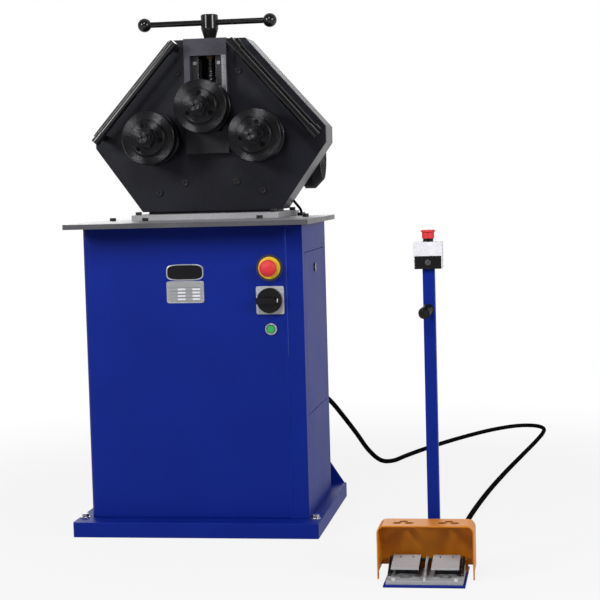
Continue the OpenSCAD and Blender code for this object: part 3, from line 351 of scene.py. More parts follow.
@dataclass(frozen=True)
class Zone:
    """A part of a surface with a colour of its own, told by place or by the way it faces; some zones hold
    painted shade and one a painted sheen instead.

    Attributes:
        color: Its colour, linear.
        low: Lowest X, Y and Z.
        high: Highest X, Y and Z.
        sideways: Whether only the faces that look along X belong to it.
    """

    color: Color
    low: Vec3 = (-FAR, -FAR, -FAR)
    high: Vec3 = (FAR, FAR, FAR)
    sideways: bool = False

    def mask(self, tree: Tree) -> Shade:
        """One inside the zone, else zero: the product of the tests that the zone needs.

        Args:
            tree: The material.

        Returns:
            The mask.
        """
        tests = [value.between(low, high)
                 for value, low, high in zip(tree.parts(tree.place()), self.low, self.high)
                 if low > -FAR or high < FAR]
        if self.sideways:
            facing = tree.parts(tree.node("ShaderNodeNewGeometry", out="Normal"))[0]
            tests.append((facing * facing) > 0.5)
        return math.prod(tests[1:], start=tests[0])


@dataclass(frozen=True)
class Paint(Finish):
    """Sprayed or powder coated metal: fine peel, slow mottling and lighter edges, partly bare wear and partly
    a painted highlight.

    Attributes:
        peel: Size of the peel in metres.
        peel_depth: Depth of the peel in metres.
        mottle: Change of brightness over the surface.
        edge_gain: Brightness of the edges.
        edge_width: Width of the edges in metres.
        coat: Weight of the clear coat.
        dust: Change of roughness over the surface.
        mirror: Strength of the reflection at a right angle; a half is that of plain plastic.
        zones: Parts of the surface with colours of their own; some are painted shade and one a painted sheen.
        cloud: Size of the slow mottling in metres.
        fleck: Size of the flecks in metres.
        bare: How much lighter the edges are, in any colour, as wear and as a painted highlight.
    """

    peel: float = 0.0022
    peel_depth: float = 0.00006
    mottle: float = 0.10
    edge_gain: float = 1.6
    edge_width: float = 0.0016
    coat: float = 0.05
    dust: float = 0.10
    mirror: float = 0.3
    zones: tuple[Zone, ...] = ()
    cloud: float = 0.16
    fleck: float = 0.006
    bare: float = 0.004

    def build(self) -> bpy.types.Material:
        """Makes the material: clouds and flecks, then zones, then lighter edges broken up by the flecks,
        partly wear and partly a painted highlight.

        Returns:
            The material.
        """
        tree = Tree(self.name)
        spot = tree.place()
        cloud = tree.noise(spot, self.cloud, 4.0)
        fleck = tree.noise(spot, self.fleck, 3.0)
        peel = tree.noise(spot, self.peel, 1.0)
        normal, edge = tree.edges(self.edge_width)
        shade = cloud.ramp(*USUAL, 0.0, 0.7) + fleck.ramp(0.35, 0.65, 0.0, 0.3)
        base = tree.varied(shade, self.color, 1.0 - self.mottle, 1.0 + self.mottle)
        for zone in self.zones:
            base = tree.mix(zone.mask(tree), base, tree.varied(shade, zone.color, 0.85, 1.15))
        # Lighter edges: partly wear, partly a painted highlight.
        wear_and_highlight = edge * fleck.ramp(0.38, 0.62, 0.35, 1.0)
        color = tree.mix(wear_and_highlight, base, rgba(self.color, self.edge_gain, self.bare))
        dusty = (cloud - MIDDLE) * self.dust + (fleck - MIDDLE) * (0.6 * self.dust)
        return tree.finish({
            "Base Color": color, "Roughness": self.sheen.value + dusty + edge * 0.05,
            "Specular IOR Level": self.mirror, "Coat Weight": self.coat, "Coat Roughness": 0.25,
            "Normal": tree.bump(peel, self.peel_depth, 0.6, normal)})


@dataclass(frozen=True)
class Steel(Finish):
    """Bare steel with a straight grain along one axis, or a lathe grain round a centre.

    Attributes:
        axis: Axis of the grain, or of the lathe.
        centre: Centre of the lathe grain; none gives a straight grain.
        grain: Spacing of the grain in metres.
        depth: Depth of the grain in metres.
        oil: Strength of the darker oily patches.
        thread: Start and end of a thread along the axis, in metres.
        pitch: Pitch of that thread in metres.
        zones: Parts of the surface with colours of their own.
        pit: Inner and outer radius, and start and end along the axis, of holes that get painted shade inside.
        pit_shade: Painted shade inside those holes.
        slope: Steepness of the lathe grooves' flanks; zero gives a plain grain.
        metal: Share of bare metal; the rest is a dark oxide skin.
        edge_lift: How much lighter the edges are, as a painted highlight.
        edge_width: Width of the edges in metres.
        patch: Size of the oily patches in metres.
        thread_depth: Depth of the thread in metres.
    """

    axis: Axis = Axis.Y
    centre: Vec3 | None = None
    grain: float = 0.0006
    depth: float = 0.000025
    oil: float = 0.35
    thread: Pair | None = None
    pitch: float = 0.002
    zones: tuple[Zone, ...] = ()
    pit: Vec4 | None = None
    pit_shade: Color = (0.006, 0.006, 0.007)
    slope: float = 0.0
    metal: float = 1.0
    edge_lift: float = 0.05
    edge_width: float = 0.0009
    patch: float = 0.03
    thread_depth: float = 0.0011

    def lines(self, tree: Tree, spot: Shade, radius: Shade, along: Shade) -> Shade:
        """Grain: noise drawn out along the axis, or noise of the radius and the station alone, in two sizes.

        Args:
            tree: The material.
            spot: Coordinates from the lathe's centre.
            radius: Distance from the lathe's axis.
            along: Station along the axis.

        Returns:
            Values around a half.
        """
        if self.centre is None:
            stretch = [1.0, 1.0, 1.0]
            stretch[self.axis.value] = 0.03
            return tree.noise(spot, self.grain, 2.0, tuple(stretch))
        flat = tree.node("ShaderNodeCombineXYZ", None, {"X": radius, "Y": along})
        fine = tree.noise(flat, self.grain * 2.0, 3.0)
        return fine * 0.5 + tree.noise(flat, self.grain * 6.0, 1.0) * 0.5

    def grooved(self, tree: Tree, spot: Shade, groove: Shade, normal: Shade) -> Shade:
        """Normal of fine turned grooves: it leans across them, by the groove's value about its middle.

        Args:
            tree: The material.
            spot: Coordinates from the lathe's centre.
            groove: Wave across the grooves, between zero and one.
            normal: The normal it starts from.

        Returns:
            The leaning normal.
        """
        axis = [0.0, 0.0, 0.0]
        axis[self.axis.value] = 1.0
        round_way = tree.vector("NORMALIZE", tree.vector("CROSS_PRODUCT", tuple(axis), spot))
        turned_way = tree.node("ShaderNodeVectorTransform",
                               {"vector_type": "VECTOR", "convert_from": "OBJECT", "convert_to": "WORLD"},
                               {"Vector": round_way})
        across = tree.vector("CROSS_PRODUCT", normal, turned_way)
        lean = tree.node("ShaderNodeVectorMath", {"operation": "SCALE"},
                         {0: across, "Scale": (groove - MIDDLE) * self.slope})
        return tree.vector("NORMALIZE", tree.vector("ADD", normal, lean))

    def build(self) -> bpy.types.Material:
        """Makes the material: oily patches, zones, grain, edges lightened as a painted highlight, painted
        shade in holes, then relief and thread.

        Returns:
            The material.
        """
        tree = Tree(self.name)
        spot = tree.place(self.centre or ORIGIN)
        sides = list(tree.parts(spot))
        along = sides.pop(self.axis.value)
        radius = sides[0].away(sides[1])
        lines = self.lines(tree, spot, radius, along)
        cloud = tree.noise(spot, self.patch, 4.0)
        normal, edge = tree.edges(self.edge_width)
        oily = cloud.ramp(0.35, 0.7, 0.0, self.oil)
        base = tree.varied(oily, self.color, 1.0, 0.45)
        for zone in self.zones:
            base = tree.mix(zone.mask(tree), base, tree.varied(oily, zone.color, 1.0, 0.7))
        streak = tree.mix(lines.ramp(*USUAL, 0.0, 0.45), base, rgba(self.color, 1.55))
        # Lighter edges: a painted highlight.
        color = tree.mix(edge * 0.8, streak, rgba(self.color, 2.4, self.edge_lift, 0.75))
        # Painted shade inside the holes.
        if self.pit is not None:
            inside = radius.between(*self.pit[:2]) * along.between(*self.pit[2:])
            color = tree.mix(inside, color, rgba(self.pit_shade))
        rough = self.sheen.value + (lines - MIDDLE) * 0.14 + (cloud - MIDDLE) * 0.18
        if self.slope > 0.0:
            relief = self.grooved(tree, spot, (radius + along).wave(self.grain), normal)
        else:
            relief = tree.bump(lines, self.depth, 0.8, normal)
        if self.thread is not None:
            turns = along.wave(self.pitch) * along.between(*self.thread)
            relief = tree.bump(turns, self.thread_depth, 1.0, relief)
        return tree.finish({"Base Color": color, "Metallic": self.metal, "Roughness": rough,
                            "Normal": relief})


@dataclass(frozen=True)
class Moulded(Finish):
    """Moulded plastic with a fine spark texture and handling marks.

    Attributes:
        texture: Size of the texture in metres.
        depth: Depth of the texture in metres.
        coat: Weight of the gloss coat.
        mirror: Strength of the reflection at a right angle.
        touch: Size of the handling marks in metres.
        edge_width: Width of the edges in metres.
    """

    texture: float = 0.0008
    depth: float = 0.00003
    coat: float = 0.0
    mirror: float = 0.4
    touch: float = 0.02
    edge_width: float = 0.0008

    def build(self) -> bpy.types.Material:
        """Makes the material: brightness and gloss follow the marks, and edges are a little lighter.

        Returns:
            The material.
        """
        tree = Tree(self.name)
        spot = tree.place()
        spark = tree.noise(spot, self.texture, 1.0)
        hand = tree.noise(spot, self.touch, 4.0)
        normal, edge = tree.edges(self.edge_width)
        base = tree.varied(hand.ramp(*USUAL), self.color, 0.93, 1.07)
        color = tree.mix(edge * 0.35, base, rgba(self.color, 1.25, 0.01, 0.95))
        rough = self.sheen.value + (hand - MIDDLE) * 0.16 + (spark - MIDDLE) * 0.08
        return tree.finish({
            "Base Color": color, "Roughness": rough, "Specular IOR Level": self.mirror,
            "Coat Weight": self.coat, "Coat Roughness": 0.12,
            "Normal": tree.bump(spark, self.depth, 0.6, normal)})


@dataclass(frozen=True)
class RimmedDisc(Finish):
    """Coloured disc with a dark rim and neck, told apart by the distance from its centre; on the stop collar
    the dark rim is painted shade along the disc's edge.

    Attributes:
        centre: Centre of the disc.
        disc: Inner and outer radius of the colour.
        dark: Colour of the rim and neck.
        touch: Size of the handling marks in metres.
        depth: Depth of those marks in metres.
        edge_width: Width of the edges in metres.
    """

    centre: Vec3 = ORIGIN
    disc: Pair = (0.0155, 0.0265)
    dark: Color = (0.012, 0.012, 0.013)
    touch: float = 0.012
    depth: float = 0.00002
    edge_width: float = 0.0006

    def build(self) -> bpy.types.Material:
        """Makes the material: the colour between the two radii, the dark elsewhere.

        Returns:
            The material.
        """
        tree = Tree(self.name)
        spot = tree.place(self.centre)
        x, _, z = tree.parts(spot)
        hand = tree.noise(spot, self.touch, 4.0)
        normal, edge = tree.edges(self.edge_width)
        bright = tree.varied(hand.ramp(*USUAL), self.color, 0.92, 1.05)
        color = tree.mix(x.away(z).between(*self.disc), rgba(self.dark), bright)
        rough = self.sheen.value + (hand - MIDDLE) * 0.15 + edge * 0.05
        return tree.finish({
            "Base Color": color, "Roughness": rough, "Coat Weight": 0.2, "Coat Roughness": 0.15,
            "Normal": tree.bump(hand, self.depth, 0.3, normal)})


@dataclass(frozen=True)
class Cowl(Paint):
    """Painted cowl with painted shade inside its air slots.

    Attributes:
        centre: Centre of the cowl's end face.
        slot_r: Outer radius of the slots.
        slot_depth: Depth below the end face at which the painted shade starts.
        slot_shade: Painted shade inside the slots.
    """

    centre: Vec3 = ORIGIN
    slot_r: float = 0.0605
    slot_depth: float = 0.0008
    slot_shade: Color = (0.0012, 0.0012, 0.0014)
    edge_width: float = 0.0014
    cloud: float = 0.05

    def build(self) -> bpy.types.Material:
        """Makes the material: mottled paint, and painted shade below the end face within the slots' radius.

        Returns:
            The material.
        """
        tree = Tree(self.name)
        spot = tree.place(self.centre)
        x, y, z = tree.parts(spot)
        # Painted shade: all below the end face within the slots' radius.
        slot = (x < -self.slot_depth) * (y.away(z) < self.slot_r)
        cloud = tree.noise(spot, self.cloud, 4.0)
        peel = tree.noise(spot, self.peel, 1.0)
        normal, edge = tree.edges(self.edge_width)
        base = tree.varied(cloud.ramp(*USUAL), self.color, 1.0 - self.mottle, 1.0 + self.mottle)
        lit = tree.mix(edge * 0.6, base, rgba(self.color, 1.3))
        return tree.finish({
            "Base Color": tree.mix(slot, lit, rgba(self.slot_shade)),
            "Roughness": self.sheen.value + (cloud - MIDDLE) * 0.15, "Specular IOR Level": self.mirror,
            "Normal": tree.bump(peel, self.peel_depth, 0.6, normal)})


@dataclass(frozen=True)
class Sheath(Finish):
    """Matt rubber cable sheath with a fine grain, scuffs and slow changes along it.

    Attributes:
        scuff: Size of the scuffs in metres.
        grain: Size of the grain in metres.
        depth: Depth of the grain in metres.
        slow: Size of the slow changes in metres.
    """

    scuff: float = 0.004
    grain: float = 0.0009
    depth: float = 0.00005
    slow: float = 0.08

    def build(self) -> bpy.types.Material:
        """Makes the material; it mirrors nothing, as dusty black rubber does.

        Returns:
            The material.
        """
        tree = Tree(self.name)
        spot = tree.place()
        grain = tree.noise(spot, self.grain, 2.0)
        scuff = tree.noise(spot, self.scuff, 4.0)
        base = tree.varied(tree.noise(spot, self.slow, 3.0).ramp(*USUAL), self.color, 0.8, 1.3)
        color = tree.mix(scuff.ramp(0.6, 0.75, 0.0, 0.5), base, rgba(self.color, 2.6))
        rough = self.sheen.value + (scuff - MIDDLE) * 0.22 + (grain - MIDDLE) * 0.06
        return tree.finish({"Base Color": color, "Roughness": rough, "Specular IOR Level": 0.0,
                            "Normal": tree.bump(grain, self.depth, 0.6)})


@dataclass(frozen=True)
class Surface:
    """A grid of points that makes one closed skin: each row is a ring, and both end rows get a flat face.

    Attributes:
        grid: Points as rows by columns by three.
    """

    grid: np.ndarray

    def faces(self, start: int) -> list[list[int]]:
        """Four-sided faces between neighbouring grid points, and the two end faces.

        Args:
            start: Number of the first point in the mesh.

        Returns:
            The faces as lists of point numbers.
        """
        rows, columns = self.grid.shape[:2]
        number = start + np.arange(rows * columns).reshape(rows, columns)
        ring = np.concatenate([number, number[:, :1]], axis=1)
        quads = np.stack([ring[:-1, :-1], ring[:-1, 1:], ring[1:, 1:], ring[1:, :-1]], axis=-1)
        ends = [number[0, ::-1].tolist(), number[-1].tolist()]
        return quads.reshape(-1, 4).tolist() + ends


def round_angles(sides: int) -> np.ndarray:
    """Even angles round a full turn, the last one short of it."""
    return np.linspace(0.0, 2.0 * np.pi, sides, endpoint=False)


def turned(profile: Sequence[Pair], at: Vec3, axis: Axis, sides: int) -> Surface:
    """Turns a profile round an axis: point = at + axis · station + radius · (cos a, sin a) across the axis.

    Args:
        profile: Radius and station of each row, in metres.
        at: Point on the axis where the station is zero.
        axis: The axis.
        sides: Points round the axis.

    Returns:
        The skin.
    """
    rows = np.asarray(profile, float)
    angle = round_angles(sides)
    first, second = [i for i in range(3) if i != axis.value]
    grid = np.zeros((len(rows), sides, 3))
    grid[:, :, first] = rows[:, :1] * np.cos(angle)
    grid[:, :, second] = rows[:, :1] * np.sin(angle)
    grid[:, :, axis.value] = rows[:, 1:]
    return Surface(grid + np.asarray(at))


def tube(path: np.ndarray, radius: float, sides: int, hint: Vec3) -> Surface:
    """Carries a circle along a path: point = path + radius · (cos a · across + sin a · over).

    Args:
        path: Points of the middle line.
        radius: Radius of the tube.
        sides: Points round the tube.
        hint: Direction that is never along the path.

    Returns:
        The skin.
    """
    along = np.gradient(path, axis=0)
    along /= np.linalg.norm(along, axis=1, keepdims=True)
    across = np.cross(along, np.asarray(hint))
    across /= np.linalg.norm(across, axis=1, keepdims=True)
    over = np.cross(across, along)
    angle = round_angles(sides)[None, :, None]
    circle = np.cos(angle) * across[:, None, :] + np.sin(angle) * over[:, None, :]
    return Surface(path[:, None, :] + radius * circle)


def smooth_path(route: Sequence[Vec3], steps: int) -> np.ndarray:
    """Curve through given points: on each span, the cubic whose end slopes are half the neighbours' chord.

    Args:
        route: The points.
        steps: Points worked out on each span.

    Returns:
        The points of the curve.
    """
    p = np.asarray(route, float)
    a = np.concatenate([p[:1], p[:-2]])[:, None, :]
    b, c = p[:-1, None, :], p[1:, None, :]
    d = np.concatenate([p[2:], p[-1:]])[:, None, :]
    t = np.linspace(0.0, 1.0, steps, endpoint=False)[None, :, None]
    spans = (2 * b + (c - a) * t + (2 * a - 5 * b + 4 * c - d) * t**2 + (3 * b - a - 3 * c + d) * t**3) / 2
    return np.concatenate([spans.reshape(-1, 3), p[-1:]])


def crowned_plate(size: Pair, thick: float, at: Vec3, power: float, lip: float, sides: int = 96) -> Surface:
    """Thin plate on a face that looks to the front, with round corners and a pressed border.

    The outline is a superellipse. Rows run from its middle to its rim as shares of the outline, and the
    height falls to zero at the rim and dips inside the border.

    Args:
        size: Width and height.
        thick: Height of the border over the face.
        at: Middle of the plate, on the face that carries it.
        power: Exponent of the outline; a higher one has sharper corners.
        lip: Width of the border as a share of the half size.
        sides: Points round the outline.

    Returns:
        The skin.
    """
    inset = lip * np.array([1.15, 1.0, 0.4, 0.15, 0.0, 0.0])
    share = np.concatenate([[0.002, 0.4, 0.8], 1.0 - inset])[:, None]
    height = np.array([0.55, 0.55, 0.55, 0.55, 1.0, 1.0, 0.9, 0.55, 0.0])[:, None] * thick
    angle = round_angles(sides)[None, :]
    x = size[0] / 2 * np.sign(np.cos(angle)) * np.abs(np.cos(angle)) ** (2 / power)
    z = size[1] / 2 * np.sign(np.sin(angle)) * np.abs(np.sin(angle)) ** (2 / power)
    grid = np.stack(np.broadcast_arrays(share * x, -height, share * z), axis=-1)
    return Surface(grid + np.asarray(at))


def hex_turned(profile: np.ndarray, at: Vec3, sides: int = 72) -> Surface:
    """Turns a profile round Y with a six-sided share: radius over the cosine of the angle from a flat.

    Args:
        profile: Radius, station and six-sided share of each row.
        at: Point on the axis where the station is zero.
        sides: Points round the axis.

    Returns:
        The skin.
    """
    rows = np.asarray(profile, float)
    angle = round_angles(sides)
    flat = 1.0 / np.cos(np.mod(angle + np.pi / 6, np.pi / 3) - np.pi / 6)
    radius = rows[:, :1] * (1.0 + rows[:, 2:] * (flat - 1.0))
    x, z = radius * np.cos(angle), radius * np.sin(angle)
    grid = np.stack(np.broadcast_arrays(x, rows[:, 1:2], z), axis=-1)
    return Surface(grid + np.asarray(at))


def boxes(size: Vec3, places: np.ndarray, widths: np.ndarray | float = 1.0) -> list[Surface]:
    """Small blocks of one height and depth: for each, a rectangle carried from back to front.

    Args:
        size: Full width, depth and height of a block.
        places: Middle of each block's back face.
        widths: Width of each block, or of all, as a share of the full width.

    Returns:
        One skin for each block.
    """
    grid = np.zeros((len(places), 2, 4, 3))
    grid[..., 0] = SQUARE[:, 0] * size[0] * np.reshape(widths, (-1, 1, 1))
    grid[..., 1] = np.array([0.0, -size[1]])[None, :, None]
    grid[..., 2] = SQUARE[:, 1] * size[2]
    grid += places[:, None, None, :]
    return [Surface(g) for g in grid]


def slab(at: np.ndarray, across: np.ndarray, along: np.ndarray, size: Vec3) -> Surface:
    """Thin block on a sloping face: a rectangle, carried along its normal from half its height below.

    Args:
        at: Middle of its foot, on the face.
        across: Unit direction of its width.
        along: Unit direction of its length.
        size: Width, length and height over the face.

    Returns:
        The skin.
    """
    ring = SQUARE[:, :1] * size[0] * across + SQUARE[:, 1:] * size[1] * along
    lift = np.array([-0.5, 1.0])[:, None, None] * size[2] * np.cross(across, along)
    return Surface(at + lift + ring)


def add_object(name: str, data: bpy.types.ID) -> bpy.types.Object:
    """Puts data into the scene as an object.

    Args:
        name: Name of the object.
        data: Its mesh, camera or lamp.

    Returns:
        The object.
    """
    made = bpy.data.objects.new(name, data)
    bpy.context.scene.collection.objects.link(made)
    return made


def make_piece(name: str, skins: Iterable[Surface], finish: Finish, body: str,
               replaces: Sequence[str] = (), sharp: float = 32.0) -> bpy.types.Object:
    """Puts skins into one mesh object, finishes it and lets it ride on a body.

    Args:
        name: Name of the piece.
        skins: Its skins.
        finish: Its finish.
        body: The body it rides on.
        replaces: CAD nodes that it stands for.
        sharp: Angle in degrees above which an edge stays sharp.

    Returns:
        The object.
    """
    points: list[np.ndarray] = []
    faces: list[list[int]] = []
    count = 0
    for skin in skins:
        faces += skin.faces(count)
        points.append(skin.grid.reshape(-1, 3))
        count += len(points[-1])
    mesh = bpy.data.meshes.new(name)
    mesh.from_pydata(np.concatenate(points).tolist(), [], faces)
    work = bmesh.new()
    work.from_mesh(mesh)
    bmesh.ops.recalc_face_normals(work, faces=work.faces)
    work.to_mesh(mesh)
    work.free()
    mesh.shade_smooth()
    mesh.set_sharp_from_angle(angle=math.radians(sharp))
    mesh.materials.append(Finishes.get(finish))
    made = add_object(name, mesh)
    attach(made, body)
    if replaces:
        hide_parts(*replaces)
    LOG.info("piece %s: %d points, rides on %s", name, count, body)
    return made


class Finishes:
    """Materials that are already made, by finish."""

    made: dict[Finish, bpy.types.Material] = {}

    @classmethod
    def get(cls, finish: Finish) -> bpy.types.Material:
        """The material of a finish, made the first time it is asked for.

        Args:
            finish: The finish.

        Returns:
            Its material.
        """
        if finish not in cls.made:
            cls.made[finish] = finish.build()
        return cls.made[finish]

    @classmethod
    def dress(cls, nodes: dict[str, Finish]) -> None:
        """Gives CAD nodes their materials.

        Args:
            nodes: Finish of each node.
        """
        for name, finish in nodes.items():
            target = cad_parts[name]
            target.data.materials.clear()
            target.data.materials.append(cls.get(finish))
            LOG.info("node %s: %s", name, finish.name)


# The lighter edges of the blue paint are partly wear and partly a painted highlight along the sheet's bends;
# on the wrap that band is wider and lighter.
BLUE = Paint("blue_powder_coat", (0.0020, 0.0140, 0.200), Sheen.EGGSHELL, edge_gain=1.8, edge_width=0.0030,
             mottle=0.07, coat=0.0, mirror=0.12)
WRAP = replace(BLUE, name="blue_wrap", edge_width=0.0080, edge_gain=2.4)
# The seam edge's lighter blue is a painted highlight.
SEAM_HIGHLIGHT = replace(BLUE, name="blue_seam_highlight", color=(0.060, 0.085, 0.36))
# The light zone is a painted sheen: the table's top face is made lighter than its edges.
TABLE = Paint("table_grey", (0.070, 0.069, 0.078), Sheen.SATIN, peel=0.0012, mottle=0.16, edge_gain=1.9,
              dust=0.2, zones=(Zone((0.24, 0.24, 0.25), low=(-FAR, -FAR, 0.7549)),))
FOOT = Paint("foot_plate_grey", (0.29, 0.285, 0.30), Sheen.SATIN, peel=0.0012, mottle=0.14, edge_gain=1.4,
             dust=0.2)
CHARCOAL = Paint("charcoal_texture", (0.0052, 0.0056, 0.0105), Sheen.SATIN, peel=0.0016, peel_depth=0.00012,
                 mottle=0.35, edge_gain=4.0, coat=0.0, dust=0.25, mirror=0.22)
# The dark zone is painted shade on the frame's lower part, where the rolls shade it.
SLIDE = Paint("slide_frame_grey", (0.0400, 0.0385, 0.0530), Sheen.SATIN, peel=0.0016, peel_depth=0.00012,
              mottle=0.30, edge_gain=2.0, coat=0.0, dust=0.2,
              zones=(Zone((0.010, 0.010, 0.015), high=(FAR, FAR, 1.01)),))
# The rim paint is the charcoal made lighter: painted light on the rim's sides, which face the lamps.
RIM_LIT = Paint("charcoal_rim_lit", (0.0240, 0.0250, 0.0340), Sheen.SATIN, peel=0.0018, peel_depth=0.00010,
            mottle=0.14, edge_gain=2.0, dust=0.2)
BLACK_GLOSS = Paint("black_gloss", (0.0050, 0.0050, 0.0058), Sheen.GLOSS, peel=0.004, peel_depth=0.00001,
                    mottle=0.1, edge_gain=2.0, edge_width=0.0005, coat=0.0, dust=0.06, mirror=0.35)
BLACK_SATIN = Paint("black_satin", (0.0085, 0.0085, 0.0095), Sheen.SEMI_GLOSS, peel=0.0012, mottle=0.2,
                    edge_gain=3.0, coat=0.1, dust=0.15)
DRIVE = Paint("drive_grey", (0.0140, 0.0145, 0.0165), Sheen.EGGSHELL, peel=0.0018, peel_depth=0.00012,
              mottle=0.15, edge_gain=2.2, mirror=0.06)
# The dark zone is painted shade inside the holes in the guard's top.
ORANGE = Paint("guard_orange", (0.60, 0.200, 0.009), Sheen.SATIN, peel=0.0025, mottle=0.04, edge_gain=1.15,
               coat=0.0, dust=0.08, mirror=0.2,
               zones=(Zone((0.012, 0.006, 0.002), (0.500, -0.650, 0.1162), (0.668, -0.592, 0.1178)),))
# The dark zone is the treadles' sides.
PEDAL = Paint("pedal_grey", (0.38, 0.38, 0.395), Sheen.SATIN, peel=0.0014, mottle=0.10, edge_gain=1.4,
              dust=0.2, zones=(Zone((0.010, 0.010, 0.011), sideways=True),))
# The zones are all that stands over the frame's plate, its middle rib and its two front screws; the dark over
# the plate is partly painted shade under the treadles.
PEDAL_FRAME = Paint("pedal_frame_grey", (0.36, 0.36, 0.375), Sheen.SATIN, peel=0.0014, mottle=0.10,
                    edge_gain=1.3, dust=0.2,
                    zones=(Zone((0.010, 0.010, 0.011), low=(-FAR, -FAR, 0.0124)),
                           Zone((0.30, 0.30, 0.31), (0.5805, -FAR, 0.0124), (0.5875, FAR, FAR)),
                           Zone((0.62, 0.62, 0.62), (-FAR, -FAR, 0.0121), (FAR, -0.688, 0.0165))))
# The zones are the transformer, the contactors and the terminal rail.
ELECTRICS = Paint("electrics_grey", (0.46, 0.46, 0.45), Sheen.SATIN, mottle=0.08, edge_gain=1.1, dust=0.2,
                  zones=(Zone((0.060, 0.045, 0.032), (-0.165, 0.090, 0.315), (-0.065, 0.1735, 0.415)),
                         Zone((0.040, 0.042, 0.046), (-0.165, 0.090, 0.425), (-0.045, 0.1735, 0.520)),
                         Zone((0.30, 0.27, 0.20), (-0.165, 0.090, 0.530), (0.025, 0.1735, 0.560))))
# The bright zone is the front of this node, with the position scale; the darker colour of the recessed strips
# is partly painted shade.
STRIP = Steel("strip_steel", (0.060, 0.060, 0.064), Sheen.SEMI_GLOSS, Axis.Z,
              zones=(Zone((0.50, 0.50, 0.51), high=(FAR, 0.0438, FAR)),))
BRIGHT = Steel("bright_steel", (0.46, 0.465, 0.475), Sheen.SEMI_GLOSS, Axis.Z)
ZINC = Steel("zinc_plate", (0.40, 0.40, 0.405), Sheen.SEMI_GLOSS, Axis.Z, oil=0.15)
GEAR = Steel("gear_steel", (0.20, 0.20, 0.205), Sheen.SEMI_GLOSS, Axis.Y)
BRONZE = Steel("bronze", (0.10, 0.065, 0.030), Sheen.SEMI_GLOSS, Axis.Z)
BLACK_PLASTIC = Moulded("black_plastic", (0.0040, 0.0040, 0.0045), Sheen.SEMI_GLOSS, mirror=0.2)
GREY_PLASTIC = Moulded("grey_plastic", (0.40, 0.41, 0.42), Sheen.SATIN)
RED = Moulded("stop_red", (0.62, 0.026, 0.032), Sheen.EGGSHELL, mirror=0.35)
WHITE = Moulded("box_white", (0.72, 0.71, 0.76), Sheen.SATIN, mirror=0.15)
PLATE = Steel("bare_plate", (0.34, 0.345, 0.355), Sheen.SATIN, Axis.X, oil=0.1)
RUBBER = Sheath("cable_sheath", (0.0060, 0.0060, 0.0065), Sheen.EGGSHELL)
BADGE = Moulded("badge_black", (0.007, 0.007, 0.009), Sheen.SATIN, mirror=0.1)
PLUG = Moulded("plug_grey", (0.05, 0.05, 0.055), Sheen.SEMI_GLOSS)
SCREW = Steel("screw_steel", (0.14, 0.14, 0.145), Sheen.SEMI_GLOSS, Axis.Z)
COWL = Cowl("cowl_grey", (0.0110, 0.0112, 0.0125), Sheen.EGGSHELL, mirror=0.02)
# The pits of the rings and nuts are painted shade in the screws' counterbores.
RING = Steel("roll_steel", (0.0215, 0.0213, 0.0230), Sheen.TURNED, Axis.Y, grain=0.0009, oil=0.30,
             pit=(0.0250, 0.0410, -0.0676, -0.0610), slope=0.8, metal=0.94, edge_lift=0.01)
SHAFT = Steel("shaft_steel", (0.026, 0.026, 0.028), Sheen.SEMI_GLOSS, Axis.Y, grain=0.0007, oil=0.3,
              thread=(-0.1025, -0.0938), slope=0.8, metal=0.94, edge_lift=0.02)
NUT = Steel("nut_steel", (0.018, 0.018, 0.020), Sheen.SEMI_GLOSS, Axis.Y, grain=0.0008, oil=0.4,
            pit=(0.0266, 0.0410, -0.0690, -0.0600), pit_shade=(0.008, 0.008, 0.009), slope=0.5, metal=0.94,
            edge_lift=0.02)


@dataclass(frozen=True)
class Lamp:
    """One soft square lamp.

    Attributes:
        name: Its name.
        at: Its place.
        aim: The point that it faces.
        size: Its side.
        power: Its power in watts.
    """

    name: str
    at: Vec3
    aim: Vec3
    size: float
    power: float

    def build(self) -> None:
        """Adds the lamp to the scene."""
        data = bpy.data.lights.new(self.name, "AREA")
        data.shape = "SQUARE"
        data.size = self.size
        data.energy = self.power
        made = add_object(self.name, data)
        made.location = self.at
        made.rotation_euler = (Vector(self.aim) - Vector(self.at)).to_track_quat("-Z", "Y").to_euler()


